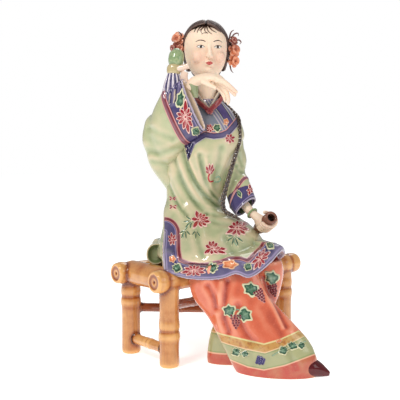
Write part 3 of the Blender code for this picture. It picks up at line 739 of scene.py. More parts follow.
CELADON = rgb(178, 184, 142)
CELADON_CREST = rgb(228, 206, 172)
# The darker green of the hollows: pooled glaze and painted shade together.
CELADON_POOL_AND_SHADE = rgb(112, 130, 88)
BAND_BLUE = rgb(62, 54, 104)
BAND_LILAC = rgb(136, 122, 166)
BAND_EDGE = rgb(176, 164, 186)
BAND_INK = rgb(30, 26, 58)
PIPING_RED = rgb(118, 14, 28)
PIPING_PINK = rgb(214, 146, 144)
TRIM_WIDTH = 20.0
TRIM_STRIPES = (
    (0.0, BAND_EDGE),
    (1.1, BAND_INK),
    (1.8, BAND_LILAC),
    (3.0, BAND_BLUE),
    (10.6, BAND_LILAC),
    (11.6, BAND_INK),
    (12.1, PIPING_PINK),
    (12.8, PIPING_RED),
    (15.4, PIPING_PINK),
    (16.1, CELADON),
)
HEM_FIELD = TRIM_STRIPES[-1][0]
YOKE_GROUND = rgb(116, 124, 138)
YOKE_PALE = rgb(190, 184, 180)
YOKE_PURPLE = rgb(84, 66, 128)
YOKE_STRIPES = (
    (0.0, BAND_EDGE),
    (1.9, BAND_INK),
    (2.6, BAND_BLUE),
    (6.2, BAND_INK),
    (6.8, PIPING_PINK),
    (7.7, YOKE_GROUND),
)
YOKE_EDGE = 1.2
YOKE_REACH = 12.0
RUN_STRIPES = (
    (0.0, YOKE_PURPLE), (3.0, BAND_INK), (3.7, YOKE_PALE), (4.5, YOKE_GROUND), (5.6, BAND_LILAC),
    (6.3, YOKE_PALE), (7.2, YOKE_GROUND), (8.4, BAND_LILAC), (9.1, YOKE_PALE), (10.0, YOKE_GROUND),
)


def cloudy_celadon(tree):
    place = node(tree, "TexCoord").outputs["Object"]
    cloud = node(tree, "TexNoise", {"Vector": place, "Scale": 45.0, "Detail": 2.0}).outputs["Fac"]
    return mix(tree, rising(tree, cloud, 2.0, -0.9, 0.55), CELADON, CELADON_CREST)


def robe_colour(tree):
    trim = stripes(tree, stored(tree, "hem"), TRIM_WIDTH, TRIM_STRIPES)
    yoke = stripes(tree, stored(tree, "yoke"), YOKE_REACH, YOKE_STRIPES, 0.2)
    run = stripes(tree, stored(tree, "yoke_run"), YOKE_REACH, RUN_STRIPES, 0.2)
    yoke = mix(tree, maths(tree, "GREATER_THAN", stored(tree, "yoke"), YOKE_STRIPES[-1][0]), yoke, run)
    field = mix(
        tree, maths(tree, "GREATER_THAN", stored(tree, "yoke"), YOKE_EDGE), cloudy_celadon(tree), yoke)
    return mix(tree, maths(tree, "GREATER_THAN", stored(tree, "hem"), HEM_FIELD), trim, field)


def on_robe_field(tree):
    outside = maths(tree, "LESS_THAN", stored(tree, "yoke"), YOKE_EDGE)
    return maths(tree, "MULTIPLY", outside, maths(tree, "GREATER_THAN", stored(tree, "hem"), HEM_FIELD))


def robe_crest(tree, base):
    return mix(tree, on_robe_field(tree), mix(tree, 0.34, base, BAND_EDGE), CELADON_CREST)


# The robe's hollows are darkened with these colours, as pooled glaze and as painted shade.
def robe_pool_and_shade(tree, base):
    return mix(tree, on_robe_field(tree), mix(tree, 0.72, base, BAND_INK), CELADON_POOL_AND_SHADE)


robe_glaze = glaze_material("celadon_glaze", robe_colour, robe_crest, robe_pool_and_shade, strength=1.05)
finish_piece("robe", robe_mesh, robe_glaze)

# The right sleeve: a wide flat bag of cast cloth that hangs from the raised wrist and gapes towards her
# chin. Its mouth is turned in over a cream lining, and a blue cuff with a red cord runs round it.
SLEEVE_SIDE = Vector((0.395, 0, -0.919)).normalized()
SLEEVE_BAG = (
    (-50, -7, 187, 12, 8),
    (-46, -9, 190, 22, 13),
    (-39.5, -17, 200, 26, 15),
    (-30.4, -26, 214, 26.5, 13),
    (-22, -32, 220, 25.5, 9.5),
    (-14.2, -37, 225.7, 24.2, 5.2),
)
SLEEVE_LINING = (
    (-13.9, -37, 225.9, 23, 3.9),
    (-16.5, -35.3, 224.2, 22.6, 4.2),
    (-18.5, -34, 223, 20, 2.6),
)
SLEEVE_FOLDS = (
    (3.2, 0.76, ((146, 150), (158, 153), (172, 150), (184, 146))),
    (3.0, 0.67, ((152, 162), (162, 164), (172, 162))),
    (2.8, 0.5, ((150, 128), (160, 134), (172, 139))),
    (1.2, 0.84, ((171, 76), (168, 86), (166, 96))),
    (1.2, 0.84, ((174, 78), (171, 90), (170, 103))),
    (1.2, 0.92, ((177, 78), (176, 90), (175, 102))),
    (1.2, 0.76, ((180, 78), (181, 88), (182, 98))),
)


def flat_ring(row, lean):
    """A ring of the sleeve: long down its side, and leaning so that the far wall reaches further than the
    near."""
    centre = Vector(row[:3])
    deep = Vector((lean, 1.0, 0.1)).normalized()
    return oval(centre, SLEEVE_SIDE * row[3], deep * row[4], 2.4)


BAG_SIDES = 48
sleeve_forms = bmesh.new()
outer_rows = smooth_rows(SLEEVE_BAG, 5)
leans = [0.15 + 0.6 * (k / len(outer_rows)) ** 2 for k in range(len(outer_rows))]
bag_rings = [flat_ring(row, lean) for row, lean in zip(outer_rows, leans)]
bag_rings += [flat_ring(row, 0.72 - 0.1 * k) for k, row in enumerate(SLEEVE_LINING)]
ring_loft(sleeve_forms, bag_rings, BAG_SIDES)
ball(sleeve_forms, (-42.5, -4, 184), (16, 16, 23))
ball(sleeve_forms, (-48.2, -4, 197), (14.5, 14.5, 20))
ball(sleeve_forms, (-45, -8, 208), (15.5, 13, 13))
limb(sleeve_forms, ((-43.5, -1, 172, 11.5, 14), (-36, -1, 158, 9, 14), (-29, -2, 144, 7, 12)), (1, 0, 0))
limb(sleeve_forms, ((-24, 2, 212, 12, 13), (-34, 1, 203, 16, 15), (-43, -2, 190, 15, 16)), (0, 1, 0))
sleeve_skin = melt(sleeve_forms, 0.9, 2)
bag_edge = [bag_rings[len(outer_rows) - 1](k / BAG_SIDES) for k in range(BAG_SIDES + 1)]
to_mouth = line_distance(skin_places(sleeve_skin), bag_edge)
upper_arm = [v for v, away in zip(sleeve_skin.verts, to_mouth) if away > 25]
soften(sleeve_skin, upper_arm, 45)
press_folds(sleeve_skin, SLEEVE_FOLDS, "picture")
raise_trim(sleeve_skin, bag_edge, 1.0, ((0.6, 0.9, 0.35), (20.7, 1.4, 0.7)))
sleeve_surface = BVHTree.FromBMesh(sleeve_skin)
sleeve_mesh = mesh_of(sleeve_skin, "right_sleeve")
sleeve_places = vertex_places(sleeve_mesh)
mouth_distance = line_distance(sleeve_places, bag_edge)
inward = np.array(SLEEVE_LINING[1][:3]) - sleeve_places
faces_in = np.einsum("ij,ij->i", mesh_normals(sleeve_mesh), inward) > 0
paint_attribute(sleeve_mesh, "cuff", mouth_distance)
paint_attribute(sleeve_mesh, "lining", faces_in & (mouth_distance < 26))
paint_hollows(sleeve_mesh, 12, 0.5)

CUFF_STRIPES = (
    (0.0, BAND_EDGE),
    (1.0, BAND_INK),
    (2.4, BAND_LILAC),
    (3.2, BAND_BLUE),
    (16.8, BAND_INK),
    (17.6, PIPING_PINK),
    (18.5, PIPING_RED),
    (22.1, PIPING_PINK),
    (22.9, CELADON),
)
LINING_CREAM = rgb(240, 216, 186)
LINING_TAN = rgb(214, 188, 152)


def sleeve_colour(tree):
    cuff = stripes(tree, stored(tree, "cuff"), 26.0, CUFF_STRIPES)
    lining = stripes(tree, stored(tree, "cuff"), 30.0, ((0.0, LINING_CREAM), (16.0, LINING_TAN)), 3.0)
    return mix(tree, stored(tree, "lining"), cuff, lining)


sleeve_crest = past_border("cuff", CUFF_STRIPES[-1][0], 0.34, BAND_EDGE, CELADON_CREST)
# The sleeve's hollows are darkened as pooled glaze and as painted shade.
sleeve_pool_and_shade = past_border("cuff", CUFF_STRIPES[-1][0], 0.68, BAND_INK, CELADON_POOL_AND_SHADE)
sleeve_glaze = glaze_material("sleeve_glaze", sleeve_colour, sleeve_crest, sleeve_pool_and_shade)
finish_piece("right_sleeve", sleeve_mesh, sleeve_glaze)

# The crossed collar: a grey edged band over a dark red one, laid round her neck and closed at her throat.
# Beside it the end of a sage green undersleeve shows inside the mouth of the right sleeve.
COLLAR = (
    (-0.3, -15.6, 222.5, 1.5, 0.9),
    (4.5, -12.5, 230.5, 1.7, 0.9),
    (8.6, -5, 238.5, 1.9, 0.9),
    (8.6, 4, 242, 2.4, 0.9),
    (3, 10.5, 243.5, 2.6, 0.9),
    (-6, 10.5, 243.5, 2.6, 0.9),
    (-11.4, 4, 241.5, 2.4, 0.9),
    (-11.2, -5, 237, 1.9, 0.9),
    (-6.6, -12, 230, 1.7, 0.9),
    (1.2, -16.2, 221, 1.5, 0.9),
)
RED_COLLAR = (
    (-2.5, -16.2, 219.5, 2.2, 1.2),
    (5, -14.6, 226, 2.5, 1.2),
    (11, -8.5, 232.5, 2.6, 1.2),
    (12, 3, 237, 3.0, 1.2),
    (4, 11.5, 239, 3.2, 1.2),
    (-7, 11.5, 239, 3.2, 1.2),
    (-14, 3, 237, 3.0, 1.2),
    (-12.4, -8, 232, 2.4, 1.2),
    (-5.5, -14.4, 225.5, 2.2, 1.2),
    (2.5, -16.4, 219, 2.0, 1.2),
)


for name, stations, colours in (
    ("collar", COLLAR, (rgb(168, 160, 150), rgb(226, 210, 186), rgb(90, 84, 96))),
    ("red_collar", RED_COLLAR, (rgb(138, 26, 40), rgb(196, 120, 110), rgb(70, 10, 20))),
):
    band_shape = bmesh.new()
    limb(band_shape, stations, (0, 0, 1), 16, 5, 3.0)
    finish_melted(name, band_shape, 0.45, 1, 6, 0.3, glaze_material(name + "_glaze", *colours))
under_shape = bmesh.new()
limb(
    under_shape,
    (
        (-13, -31, 232, 2.4, 3), (-13.4, -31.5, 236, 3.4, 4), (-14.8, -32.4, 242, 4.8, 4.8),
        (-15.2, -32.6, 244.5, 5.2, 5), (-15.3, -32.7, 245.6, 4.2, 4),
    ),
    (1, 0, 0),
)
sage_glaze = glaze_material("sage_glaze", rgb(138, 150, 108), rgb(204, 200, 160), rgb(58, 78, 50))
finish_melted("undersleeve", under_shape, 0.5, 1, 6, 0.4, sage_glaze)

# The corner of the robe's back panel, which curls up off the seat at her right. It is a sheet of clay rolled
# into an open tube and luted to the robe, with a cream lip round its hollow, which is painted dark green as
# painted shade.
CURL_RINGS = (
    ((-44, 4, 92), (6, 0, 0), (0, 0, 6)),
    ((-47, -12, 92.5), (9, 1, 0), (0, 0, 8.4)),
    ((-48, -30, 92.8), (8.8, 2, 0), (0, 1.2, 8.9)),
    ((-48, -35, 92.6), (8.6, 2, 0), (0, 1.8, 9.1)),
)
CURL_INSIDE = (
    ((-47.8, -34.4, 92.8), (7.4, 1.7, 0), (0, 1.5, 7.9)),
    ((-47.6, -31.5, 92.8), (7.2, 1.4, 0), (0, 1.2, 7.6)),
    ((-47.4, -29.5, 92.8), (5.2, 0.9, 0), (0, 0.8, 5.2)),
)


OPEN_SIDES = 40


def free_ring(centre, across, deep):
    return oval(Vector(centre), Vector(across), Vector(deep), 2.2)


def open_bag(shape, outside, inside, steps=5):
    """A closed skin that runs up the outside of a bag of cloth, over its lip and down the inside. Gives the
    rings of its outside."""
    rows = smooth_rows([[*a, *b, *c] for a, b, c in outside], steps)
    rings = [free_ring(row[:3], row[3:6], row[6:]) for row in rows]
    ring_loft(shape, rings + [free_ring(*row) for row in inside], OPEN_SIDES)
    return rings


def rim_points(ring):
    """The points of an open bag's ring, once round."""
    return [tuple(ring(k / OPEN_SIDES)) for k in range(OPEN_SIDES + 1)]


def paint_lining(mesh, inside, reach):
    """Marks the points that face the middle of a bag's inside."""
    places = vertex_places(mesh)
    inward = np.einsum("ij,ij->i", mesh_normals(mesh), np.array(inside[1][0]) - places) > 0
    near = line_distance(places, [inside[0][0], inside[-1][0]]) < reach
    paint_attribute(mesh, "lining", inward & near)


curl_shape = bmesh.new()
curl_lip = open_bag(curl_shape, CURL_RINGS, CURL_INSIDE)[-1]
curl_mesh = mesh_of(melt(curl_shape, 0.7, 2), "back_panel_curl")
paint_lining(curl_mesh, CURL_INSIDE, 10.5)
paint_attribute(curl_mesh, "cuff", line_distance(vertex_places(curl_mesh), rim_points(curl_lip)))
paint_hollows(curl_mesh, 8, 0.5)
CURL_STRIPES = ((0.0, rgb(206, 190, 150)), (1.5, rgb(120, 140, 88)), (2.4, CELADON))
# Inside the curl: the cream lip, then greens darker than the outside, painted shade in the hollow.
CURL_SHADED_LINING = ((0.0, rgb(206, 190, 150)), (1.4, rgb(116, 132, 84)), (6.5, rgb(150, 160, 114)))


def curl_colour(tree):
    outside = stripes(tree, stored(tree, "cuff"), 20.0, CURL_STRIPES)
    lining = stripes(tree, stored(tree, "cuff"), 20.0, CURL_SHADED_LINING, 0.7)
    return mix(tree, stored(tree, "lining"), outside, lining)


curl_glaze = glaze_material("curl_glaze", curl_colour, lighter(0.25), darker(0.4))
finish_piece("back_panel_curl", curl_mesh, curl_glaze)

# The gathered end of the right sleeve above her wrist, built up from pads of clay: purple cloth drawn up in
# pleats, a tan tie round it, a speckled green knob above the tie and a short pale rod beside it.
PLEATS = 11
GATHER = (
    (-33.5, -27, 226, 9, 5),
    (-33.5, -28.5, 234, 9.4, 6.6),
    (-32.8, -29.5, 243, 8.8, 7.2),
    (-32.4, -29, 251, 6.4, 6),
    (-32.3, -29, 255, 4.6, 4.6),
)


def pleated_tube(shape, stations, pleats, depth, steps=6):
    """A tube whose wall is drawn into pleats, deepest in the middle of its length."""
    rows = smooth_rows(stations, steps)
    rings = []
    for k, row in enumerate(rows):
        share = k / (len(rows) - 1)

        def ring(turn, row=row, share=share):
            drawn_in = 0.5 + 0.5 * math.cos(math.tau * pleats * turn + 2.2 * share)
            wave = 1 - depth * drawn_in * (1 - 0.6 * share)
            angle = math.tau * turn
            return Vector(row[:3]) + Vector((math.cos(angle) * row[3], math.sin(angle) * row[4], 0)) * wave

        rings.append(ring)
    ring_loft(shape, rings, pleats * 8)


gather_shape = bmesh.new()
pleated_tube(gather_shape, GATHER, PLEATS, 0.32)
LILAC_CREST = rgb(226, 216, 220)
gather_glaze = glaze_material("gather_glaze", rgb(78, 72, 122), LILAC_CREST, rgb(22, 20, 44), strength=1.2)
finish_melted("sleeve_gather", gather_shape, 0.5, 1, 5, 0.22, gather_glaze)

tie_shape = bmesh.new()
limb(
    tie_shape,
    (
        (-32.3, -29, 253, 5.4, 5.4), (-32.1, -28.8, 255, 6.2, 6.2), (-31.6, -28.2, 258.6, 6.4, 6.2),
        (-31.3, -27.8, 261, 5, 5),
    ),
    (1, 0, 0),
)
tan_glaze = glaze_material("tan_glaze", rgb(178, 160, 116), rgb(214, 196, 150), rgb(110, 100, 64))
finish_melted("sleeve_tie", tie_shape, 0.5, 2, 8, 0.35, tan_glaze)

bulb_shape = bmesh.new()
limb(
    bulb_shape,
    (
        (-31.4, -28, 259, 4, 4), (-30.6, -27, 262, 6.2, 6), (-30, -26, 266.5, 7, 6.8),
        (-29.4, -24, 272, 6.2, 6.2), (-29.2, -23, 276, 2.5, 2.5),
    ),
    (1, 0, 0),
)
bulb_glaze = glaze_material(
    "bulb_glaze", rgb(118, 146, 100), rgb(214, 214, 168), rgb(62, 92, 60), clouds=420.0)
finish_melted("sleeve_bulb", bulb_shape, 0.5, 2, 8, 0.35, bulb_glaze)

rod_shape = bmesh.new()
limb(
    rod_shape, ((-29.5, -31.5, 257, 2.6, 2.6), (-24, -32, 258.5, 2.6, 2.6), (-18.5, -32.5, 260, 2.6, 2.6)),
    (0, 0, 1), 20,
)
limb(
    rod_shape, ((-22, -31, 255, 3.2, 2.2), (-23, -31, 250, 3.4, 2.4), (-21.5, -31, 245, 3.2, 2.4)), (1, 0, 0),
    16,
)
rod_glaze = glaze_material("rod_glaze", rgb(232, 200, 178), rgb(240, 224, 208), rgb(160, 120, 100))
finish_melted("bangle_rod", rod_shape, 0.5, 1, 6, 0.3, rod_glaze)

# The left sleeve: the lowered arm in the same clay and glaze as the robe, luted on at the shoulder. Its
# short wide cuff gapes dark blue and green above her wrist.
LEFT_ARM = (
    (20, 0, 214, 9, 11),
    (19, -1, 200, 12, 13),
    (19.5, -4, 186, 12.6, 13),
    (21.5, -6, 176, 13, 13),
    (20.5, -8, 166, 12.2, 13),
    (22, -10, 158, 10.5, 12),
)
CUFF_RINGS = (
    ((20.5, -8, 170), (0, 12.5, 0), (12.4, 0, 1)),
    ((22.5, -11, 160), (1, 12, 0), (10.4, 0, 5)),
    ((25, -16, 152), (3, 10, -1), (8.4, 0, 11)),
    ((27, -20, 146.5), (4.2, 8.4, -2), (7.3, 0, 14.2)),
    ((30, -23.8, 140), (4.1, 8, -2), (7.9, 0, 11.2)),
    ((32.8, -27.3, 134), (4, 7.4, -2), (8.2, 0, 8)),
)
CUFF_INSIDE = (
    ((32.6, -27, 134.3), (3.4, 6.3, -1.7), (7, 0, 6.9)),
    ((30, -23.5, 139.5), (3, 5.4, -1.5), (6, 0, 7)),
    ((28, -20.5, 144), (1.5, 3, -1), (3, 0, 4)),
)
LEFT_SLEEVE_FOLDS = (
    (2.4, 0.9, ((240, 136), (238, 148), (241, 160), (243, 170))),
    (2.0, 0.8, ((236, 166), (241, 172), (246, 173))),
)


left_forms = bmesh.new()
limb(left_forms, LEFT_ARM, (1, 0, 0))
cuff_rings = open_bag(left_forms, CUFF_RINGS, CUFF_INSIDE)
left_skin = melt(left_forms, 0.8, 1)
press_folds(left_skin, LEFT_SLEEVE_FOLDS, "picture")
cuff_edge = rim_points(cuff_rings[-1])
raise_trim(left_skin, cuff_edge, 1.0, ((0.4, 0.8, 0.3),))
cuff_top = rim_points(cuff_rings[15])
raise_trim(left_skin, cuff_top, 1.0, ((0.0, 1.0, 0.5),))
left_surface = BVHTree.FromBMesh(left_skin)
left_mesh = mesh_of(left_skin, "left_sleeve")
left_places = vertex_places(left_mesh)
from_mouth = line_distance(left_places, cuff_edge)
from_top = line_distance(left_places, cuff_top)
cuff_way = np.array(CUFF_RINGS[5][0]) - np.array(CUFF_RINGS[3][0])
below_top = (left_places - np.array(CUFF_RINGS[3][0])) @ cuff_way > -4
share = from_mouth / (from_mouth + from_top)
cuff_distance = np.where(below_top, 10.0 * share, 10.0 + from_top)
paint_attribute(left_mesh, "cuff", cuff_distance)
paint_lining(left_mesh, CUFF_INSIDE, 8.5)
paint_hollows(left_mesh, 10, 0.6)
LEFT_CUFF_STRIPES = (
    (0.0, BAND_EDGE),
    (0.7, BAND_INK),
    (1.4, BAND_LILAC),
    (2.0, BAND_BLUE),
    (8.8, BAND_INK),
    (9.3, PIPING_PINK),
    (9.7, PIPING_RED),
    (11.2, PIPING_PINK),
    (11.8, CELADON),
)
LINING_INK = rgb(38, 44, 76)
LINING_GREEN = rgb(58, 84, 58)


def left_sleeve_colour(tree):
    cuff = stripes(tree, stored(tree, "cuff"), 24.0, LEFT_CUFF_STRIPES, 0.15)
    lining = stripes(tree, stored(tree, "cuff"), 24.0, ((0.0, LINING_GREEN), (5.0, LINING_INK)), 2.0)
    return mix(tree, stored(tree, "lining"), cuff, lining)


left_crest = past_border("cuff", LEFT_CUFF_STRIPES[-1][0], 0.34, BAND_EDGE, CELADON_CREST)
# The left sleeve's hollows are darkened as pooled glaze and as painted shade.
left_pool_and_shade = past_border("cuff", LEFT_CUFF_STRIPES[-1][0], 0.68, BAND_INK, CELADON_POOL_AND_SHADE)
left_sleeve_glaze = glaze_material("left_sleeve_glaze", left_sleeve_colour, left_crest, left_pool_and_shade)
finish_piece("left_sleeve", left_mesh, left_sleeve_glaze)

# The trousers: two wide coral legs, her left going down behind and her right crossing in front and flaring
# over the foot. Gold, green and coral bands run round each hem, and the glaze pools red in the folds, a dark
# red that is also painted shade.
TROUSER_LIMBS = (
    (((-22, -18, 92, 16, 11), (0, -52, 91, 17, 11), (14, -70, 86, 20, 13)), (0.8, 0.6, 0), 24),
    (
        (
            (6, -66, 88, 27, 12),
            (12, -70, 74, 30.5, 13),
            (21.5, -74, 57, 27, 13),
            (33.7, -79, 38, 29, 14),
            (45, -83, 22, 32, 16),
            (55, -85, 8, 34, 17),
            (56, -85, 0, 34, 17),
            (56, -85, -6, 32, 16),
        ),
        (0.97, -0.2, 0.1),
        48,
    ),
    (((2, -4, 92, 15, 11), (28, -34, 92, 16, 11), (50, -56, 88, 14, 12)), (0.8, 0.6, 0), 24),
    (
        (
            (50, -52, 90, 12, 12),
            (50, -52, 80, 14.5, 13),
            (44, -53, 64, 17, 12),
            (34, -54, 46, 19, 11),
            (22, -54, 26, 20.5, 10),
            (18, -54, 8, 20.5, 10),
            (18, -54, 0, 20, 10),
            (18, -54, -6, 19, 9),
        ),
        (1, 0, 0),
        40,
    ),
)
TROUSER_FOLDS = (
    (3.6, 1.2, ((227, 282), (225, 298), (223, 314), (228, 332))),
    (2.8, -0.9, ((222, 282), (220, 300), (219, 318), (223, 332))),
    (3.0, 1.23, ((208, 286), (213, 296), (217, 308))),
    (4.0, 1.0, ((238, 306), (240, 320), (246, 334), (254, 342))),
    (4.0, 0.7, ((264, 308), (272, 322), (282, 334))),
    (3.0, 1.5, ((264, 278), (269, 290), (278, 306), (287, 326))),
    (1.6, -0.86, ((260, 280), (265, 294), (274, 310), (283, 328))),
    (3.0, 0.4, ((250, 344), (252, 356), (254, 368))),
    (3.0, 0.4, ((284, 342), (290, 354), (296, 368))),
)
# Where the bands of the front leg run in the picture: the top of the gold, its foot and the foot of the
# green
GOLD_TOP = ((210, 329), (221, 333), (242, 338), (264, 343), (280, 338.5), (294.5, 332), (306, 326))
GOLD_FOOT = ((214, 339), (227, 344), (245, 349), (265, 353), (282, 347), (297.5, 339.5), (310, 333))
GREEN_FOOT = (
    (220, 354), (233, 361), (248, 367), (264, 370), (285, 365.5), (300, 360), (313, 355), (326, 350),
)
MM_PER_PIXEL = 0.82
# The rear leg's bands are drawn a little lower than the front one's, so its heights are scaled by this share
REAR_BAND_SCALE = 0.82
trouser_forms = bmesh.new()
for stations, side, sides in TROUSER_LIMBS:
    limb(trouser_forms, stations, side, sides)
trouser_skin = melt(trouser_forms, 1.0, 2)
press_folds(trouser_skin, TROUSER_FOLDS, "picture")
trouser_skin = melt(trouser_skin, 1.0, 1)
stand_on_the_floor(trouser_skin)
trouser_surface = BVHTree.FromBMesh(trouser_skin)
trouser_mesh = mesh_of(trouser_skin, "trousers")
trouser_places = vertex_places(trouser_mesh)
on_front = (trouser_places[:, 1] < -66) | (trouser_places[:, 0] > 40)
level = np.where(on_front, trouser_places[:, 2], trouser_places[:, 2] * REAR_BAND_SCALE)
trouser_picture = in_the_picture(trouser_places)
top, foot, last = (
    np.interp(trouser_picture[:, 0], *zip(*line)) for line in (GOLD_TOP, GOLD_FOOT, GREEN_FOOT))
down = trouser_picture[:, 1]
drawn = np.where(down < top, 31 + (top - down) * MM_PER_PIXEL, 31 - 8.2 * (down - top) / (foot - top))
drawn = np.where(down > foot, 22.8 - 14.7 * (down - foot) / (last - foot), drawn)
drawn = np.where(down > last, np.maximum(8.1 - (down - last) * MM_PER_PIXEL, 0), drawn)
towards = np.clip((mesh_normals(trouser_mesh) @ np.array((0, -1, 0)) - 0.05) / 0.35, 0, 1) * on_front
paint_attribute(trouser_mesh, "hem", np.clip(level + (drawn - level) * towards, 0, 60))
paint_hollows(trouser_mesh, 16, 0.8)
CORAL = rgb(216, 104, 72)
CORAL_CREST = rgb(242, 160, 126)
# The dark red of the folds: pooled glaze and painted shade together.
CORAL_POOL_AND_SHADE = rgb(140, 24, 22)
BAND_GOLD = rgb(198, 146, 78)
BAND_OLIVE = rgb(166, 168, 124)
BAND_LIME = rgb(206, 200, 140)
TROUSER_STRIPES = (
    (0.0, rgb(192, 74, 56)),
    (7.6, rgb(240, 180, 150)),
    (8.6, rgb(134, 150, 98)),
    (9.6, BAND_OLIVE),
    (21.4, rgb(134, 150, 98)),
    (22.4, rgb(240, 200, 160)),
    (23.2, BAND_GOLD),
    (29.4, rgb(224, 214, 150)),
    (30.6, rgb(226, 120, 90)),
)
TROUSER_FIELD = 31.0
GOLD_MIDDLE, GOLD_HALF = 26.5, 2.9


def trouser_colour(tree):
    bands = stripes(tree, stored(tree, "hem"), 40.0, TROUSER_STRIPES, 0.3)
    on_field = maths(tree, "GREATER_THAN", stored(tree, "hem"), TROUSER_FIELD)
    place = node(tree, "TexCoord").outputs["Object"]
    mottle = node(tree, "TexNoise", {"Vector": place, "Scale": 420.0, "Detail": 3.0}).outputs["Fac"]
    mottle = rising(tree, mottle, 4.0, -2.0, 0.65)
    on_gold = maths(tree, "COMPARE", stored(tree, "hem"), GOLD_MIDDLE, GOLD_HALF)
    bands = mix(tree, maths(tree, "MULTIPLY", mottle, on_gold), bands, rgb(158, 84, 42))
    return mix(tree, on_field, bands, CORAL)


trouser_crest = past_border("hem", TROUSER_FIELD, 0.5, BAND_LIME, CORAL_CREST)
# The trousers' folds are darkened as pooled glaze and as painted shade.
trouser_pool_and_shade = past_border("hem", TROUSER_FIELD, 0.45, rgb(60, 50, 30), CORAL_POOL_AND_SHADE)
trouser_glaze = glaze_material("coral_glaze", trouser_colour, trouser_crest, trouser_pool_and_shade, strength=1.0)
finish_piece("trousers", trouser_mesh, trouser_glaze)

# The toe of her right shoe: a solid point of clay that stands on the floor, pressed in under the trousers'
# hem and covered in a glossy dark red glaze.
toe_shape = bmesh.new()
limb(
    toe_shape,
    (
        (74, -89, 6, 8.4, 7), (81, -91, 6.8, 10.2, 9), (88, -91.3, 5, 8.4, 7), (94, -91.7, 2.6, 5, 4.4),
        (98.5, -92, 1, 2, 2),
    ),
    (0, 1, 0), 24,
)
toe_skin = melt(toe_shape, 0.7, 2)
stand_on_the_floor(toe_skin)
toe_mesh = mesh_of(toe_skin, "shoe_toe")
paint_hollows(toe_mesh, 8, 0.5)
shoe_glaze = glaze_material(
    "shoe_glaze", rgb(78, 4, 13), rgb(108, 14, 24), rgb(30, 2, 6), roughness=0.08, coat=0.0,
)
finish_piece("shoe_toe", toe_mesh, shoe_glaze)

# Her head and neck: pale unglazed clay with a soft painted blush, on the proportions of a drawing handbook.
# The eyes, brows and lips are thin raised slips laid on the clay.
HEAD_TURN = math.radians(8)
HEAD_SIDE = Vector((math.cos(HEAD_TURN), math.sin(HEAD_TURN), 0))
HEAD_FRONT = Vector((math.sin(HEAD_TURN), -math.cos(HEAD_TURN), 0))
FACE_MIDDLE = Vector((-3.0, -5.0, 0))
NECK = ((-1, 1, 226, 10, 10), (-1.5, 0, 236, 8.6, 8.8), (-2, -1, 246, 8.4, 9), (-3, -2, 262, 9, 10))
SKULL = (
    (-2, -19, 252.6, 4, 3),
    (-2.2, -17, 255, 9, 7.5),
    (-2.8, -12, 261, 15, 14),
    (-3.2, -8, 268, 18.2, 18.2),
    (-3.5, -5, 277, 19.6, 21.4),
    (-3.5, -3, 286, 19.4, 23),
    (-3.5, -2, 293, 16.6, 20.4),
    (-3.5, -2, 298, 11.5, 14),
    (-3.5, -2, 300.5, 4.5, 5.5),
)
EYE_LEVEL, EYE_APART = 277.5, 7.6
head_forms = bmesh.new()
limb(head_forms, NECK, (1, 0, 0))
limb(head_forms, SKULL, HEAD_SIDE, 40)


def face_point(across, up, depth):
    """A point of the head: across to her left, up from the floor, and depth in front of the head's
    middle."""
    return FACE_MIDDLE + HEAD_SIDE * across + HEAD_FRONT * depth + Vector((0, 0, up))


def face_limb(shape, stations, sides=14):
    rows = [(*face_point(*row[:3]), row[3], row[4]) for row in stations]
    limb(shape, rows, HEAD_SIDE, sides, 4)


face_limb(head_forms, (
    (0, 281, 18.6, 1.6, 1.6), (0, 275, 20.6, 1.7, 2), (0, 270.5, 21.8, 2.2, 2), (0, 267.8, 20, 2, 1.4),
))
for side in (-1, 1):
    ball(head_forms, face_point(side * 2, 269.6, 20.2), (1.6, 1.7, 1.5), HEAD_TURN, 12)
    ball(head_forms, face_point(side * 9.5, 269, 12.6), (6, 5.4, 6.4), HEAD_TURN, 16)
    ball(head_forms, face_point(side * EYE_APART, EYE_LEVEL, 15.4), (4.4, 4.2, 3.2), HEAD_TURN, 16)
ball(head_forms, face_point(0, 263.6, 15.6), (5, 4.6, 4), HEAD_TURN, 16)
ball(head_forms, face_point(0, 257, 15.2), (4.6, 4, 3.4), HEAD_TURN, 16)
head_skin = melt(head_forms, 0.6, 4)
head_surface = BVHTree.FromBMesh(head_skin)
head_mesh = mesh_of(head_skin, "head")
head_places = vertex_places(head_mesh)
cheeks = [np.linalg.norm(head_places - np.array(face_point(s * 10, 268.5, 15)), axis=1) for s in (-1, 1)]
paint_attribute(head_mesh, "blush", np.exp(-((np.minimum(*cheeks) / 7.5) ** 2)))
paint_hollows(head_mesh, 10, 0.7)
SKIN = rgb(244, 218, 192)
SKIN_BLUSH = rgb(236, 172, 150)


def skin_material(name):
    def colour(tree):
        return mix(tree, maths(tree, "MULTIPLY", stored(tree, "blush"), 0.5), SKIN, SKIN_BLUSH)

    # The unglazed clay is painted paler on its crests and darker in its hollows: painted light and shade.
    made = glaze_material(name, colour, rgb(246, 224, 204), rgb(214, 164, 138), 0.55, 0.0, 0.5, 60.0, 700.0)
    made.node_tree.nodes["Principled BSDF"].inputs["Subsurface Weight"].default_value = 0.06
    made.node_tree.nodes["Principled BSDF"].inputs["Subsurface Scale"].default_value = 0.002
    return made


skin_clay = skin_material("skin_clay")
finish_piece("head", head_mesh, skin_clay)


def draped(surface, centre, facing, up=Vector((0, 0, 1))):
    """A function that lays a point (across, up, height) of a flat drawing onto a surface, seen against
    facing."""
    right = up.cross(facing).normalized()
    above = facing.cross(right).normalized()

    def place(across, rise, height):
        flat = centre + right * across + above * rise
        hit, normal, _, _ = surface.ray_cast(flat + facing * 9, -facing, 20)
        if hit is None:
            hit, normal, _, _ = surface.find_nearest(flat)
        return hit + normal * height

    return place


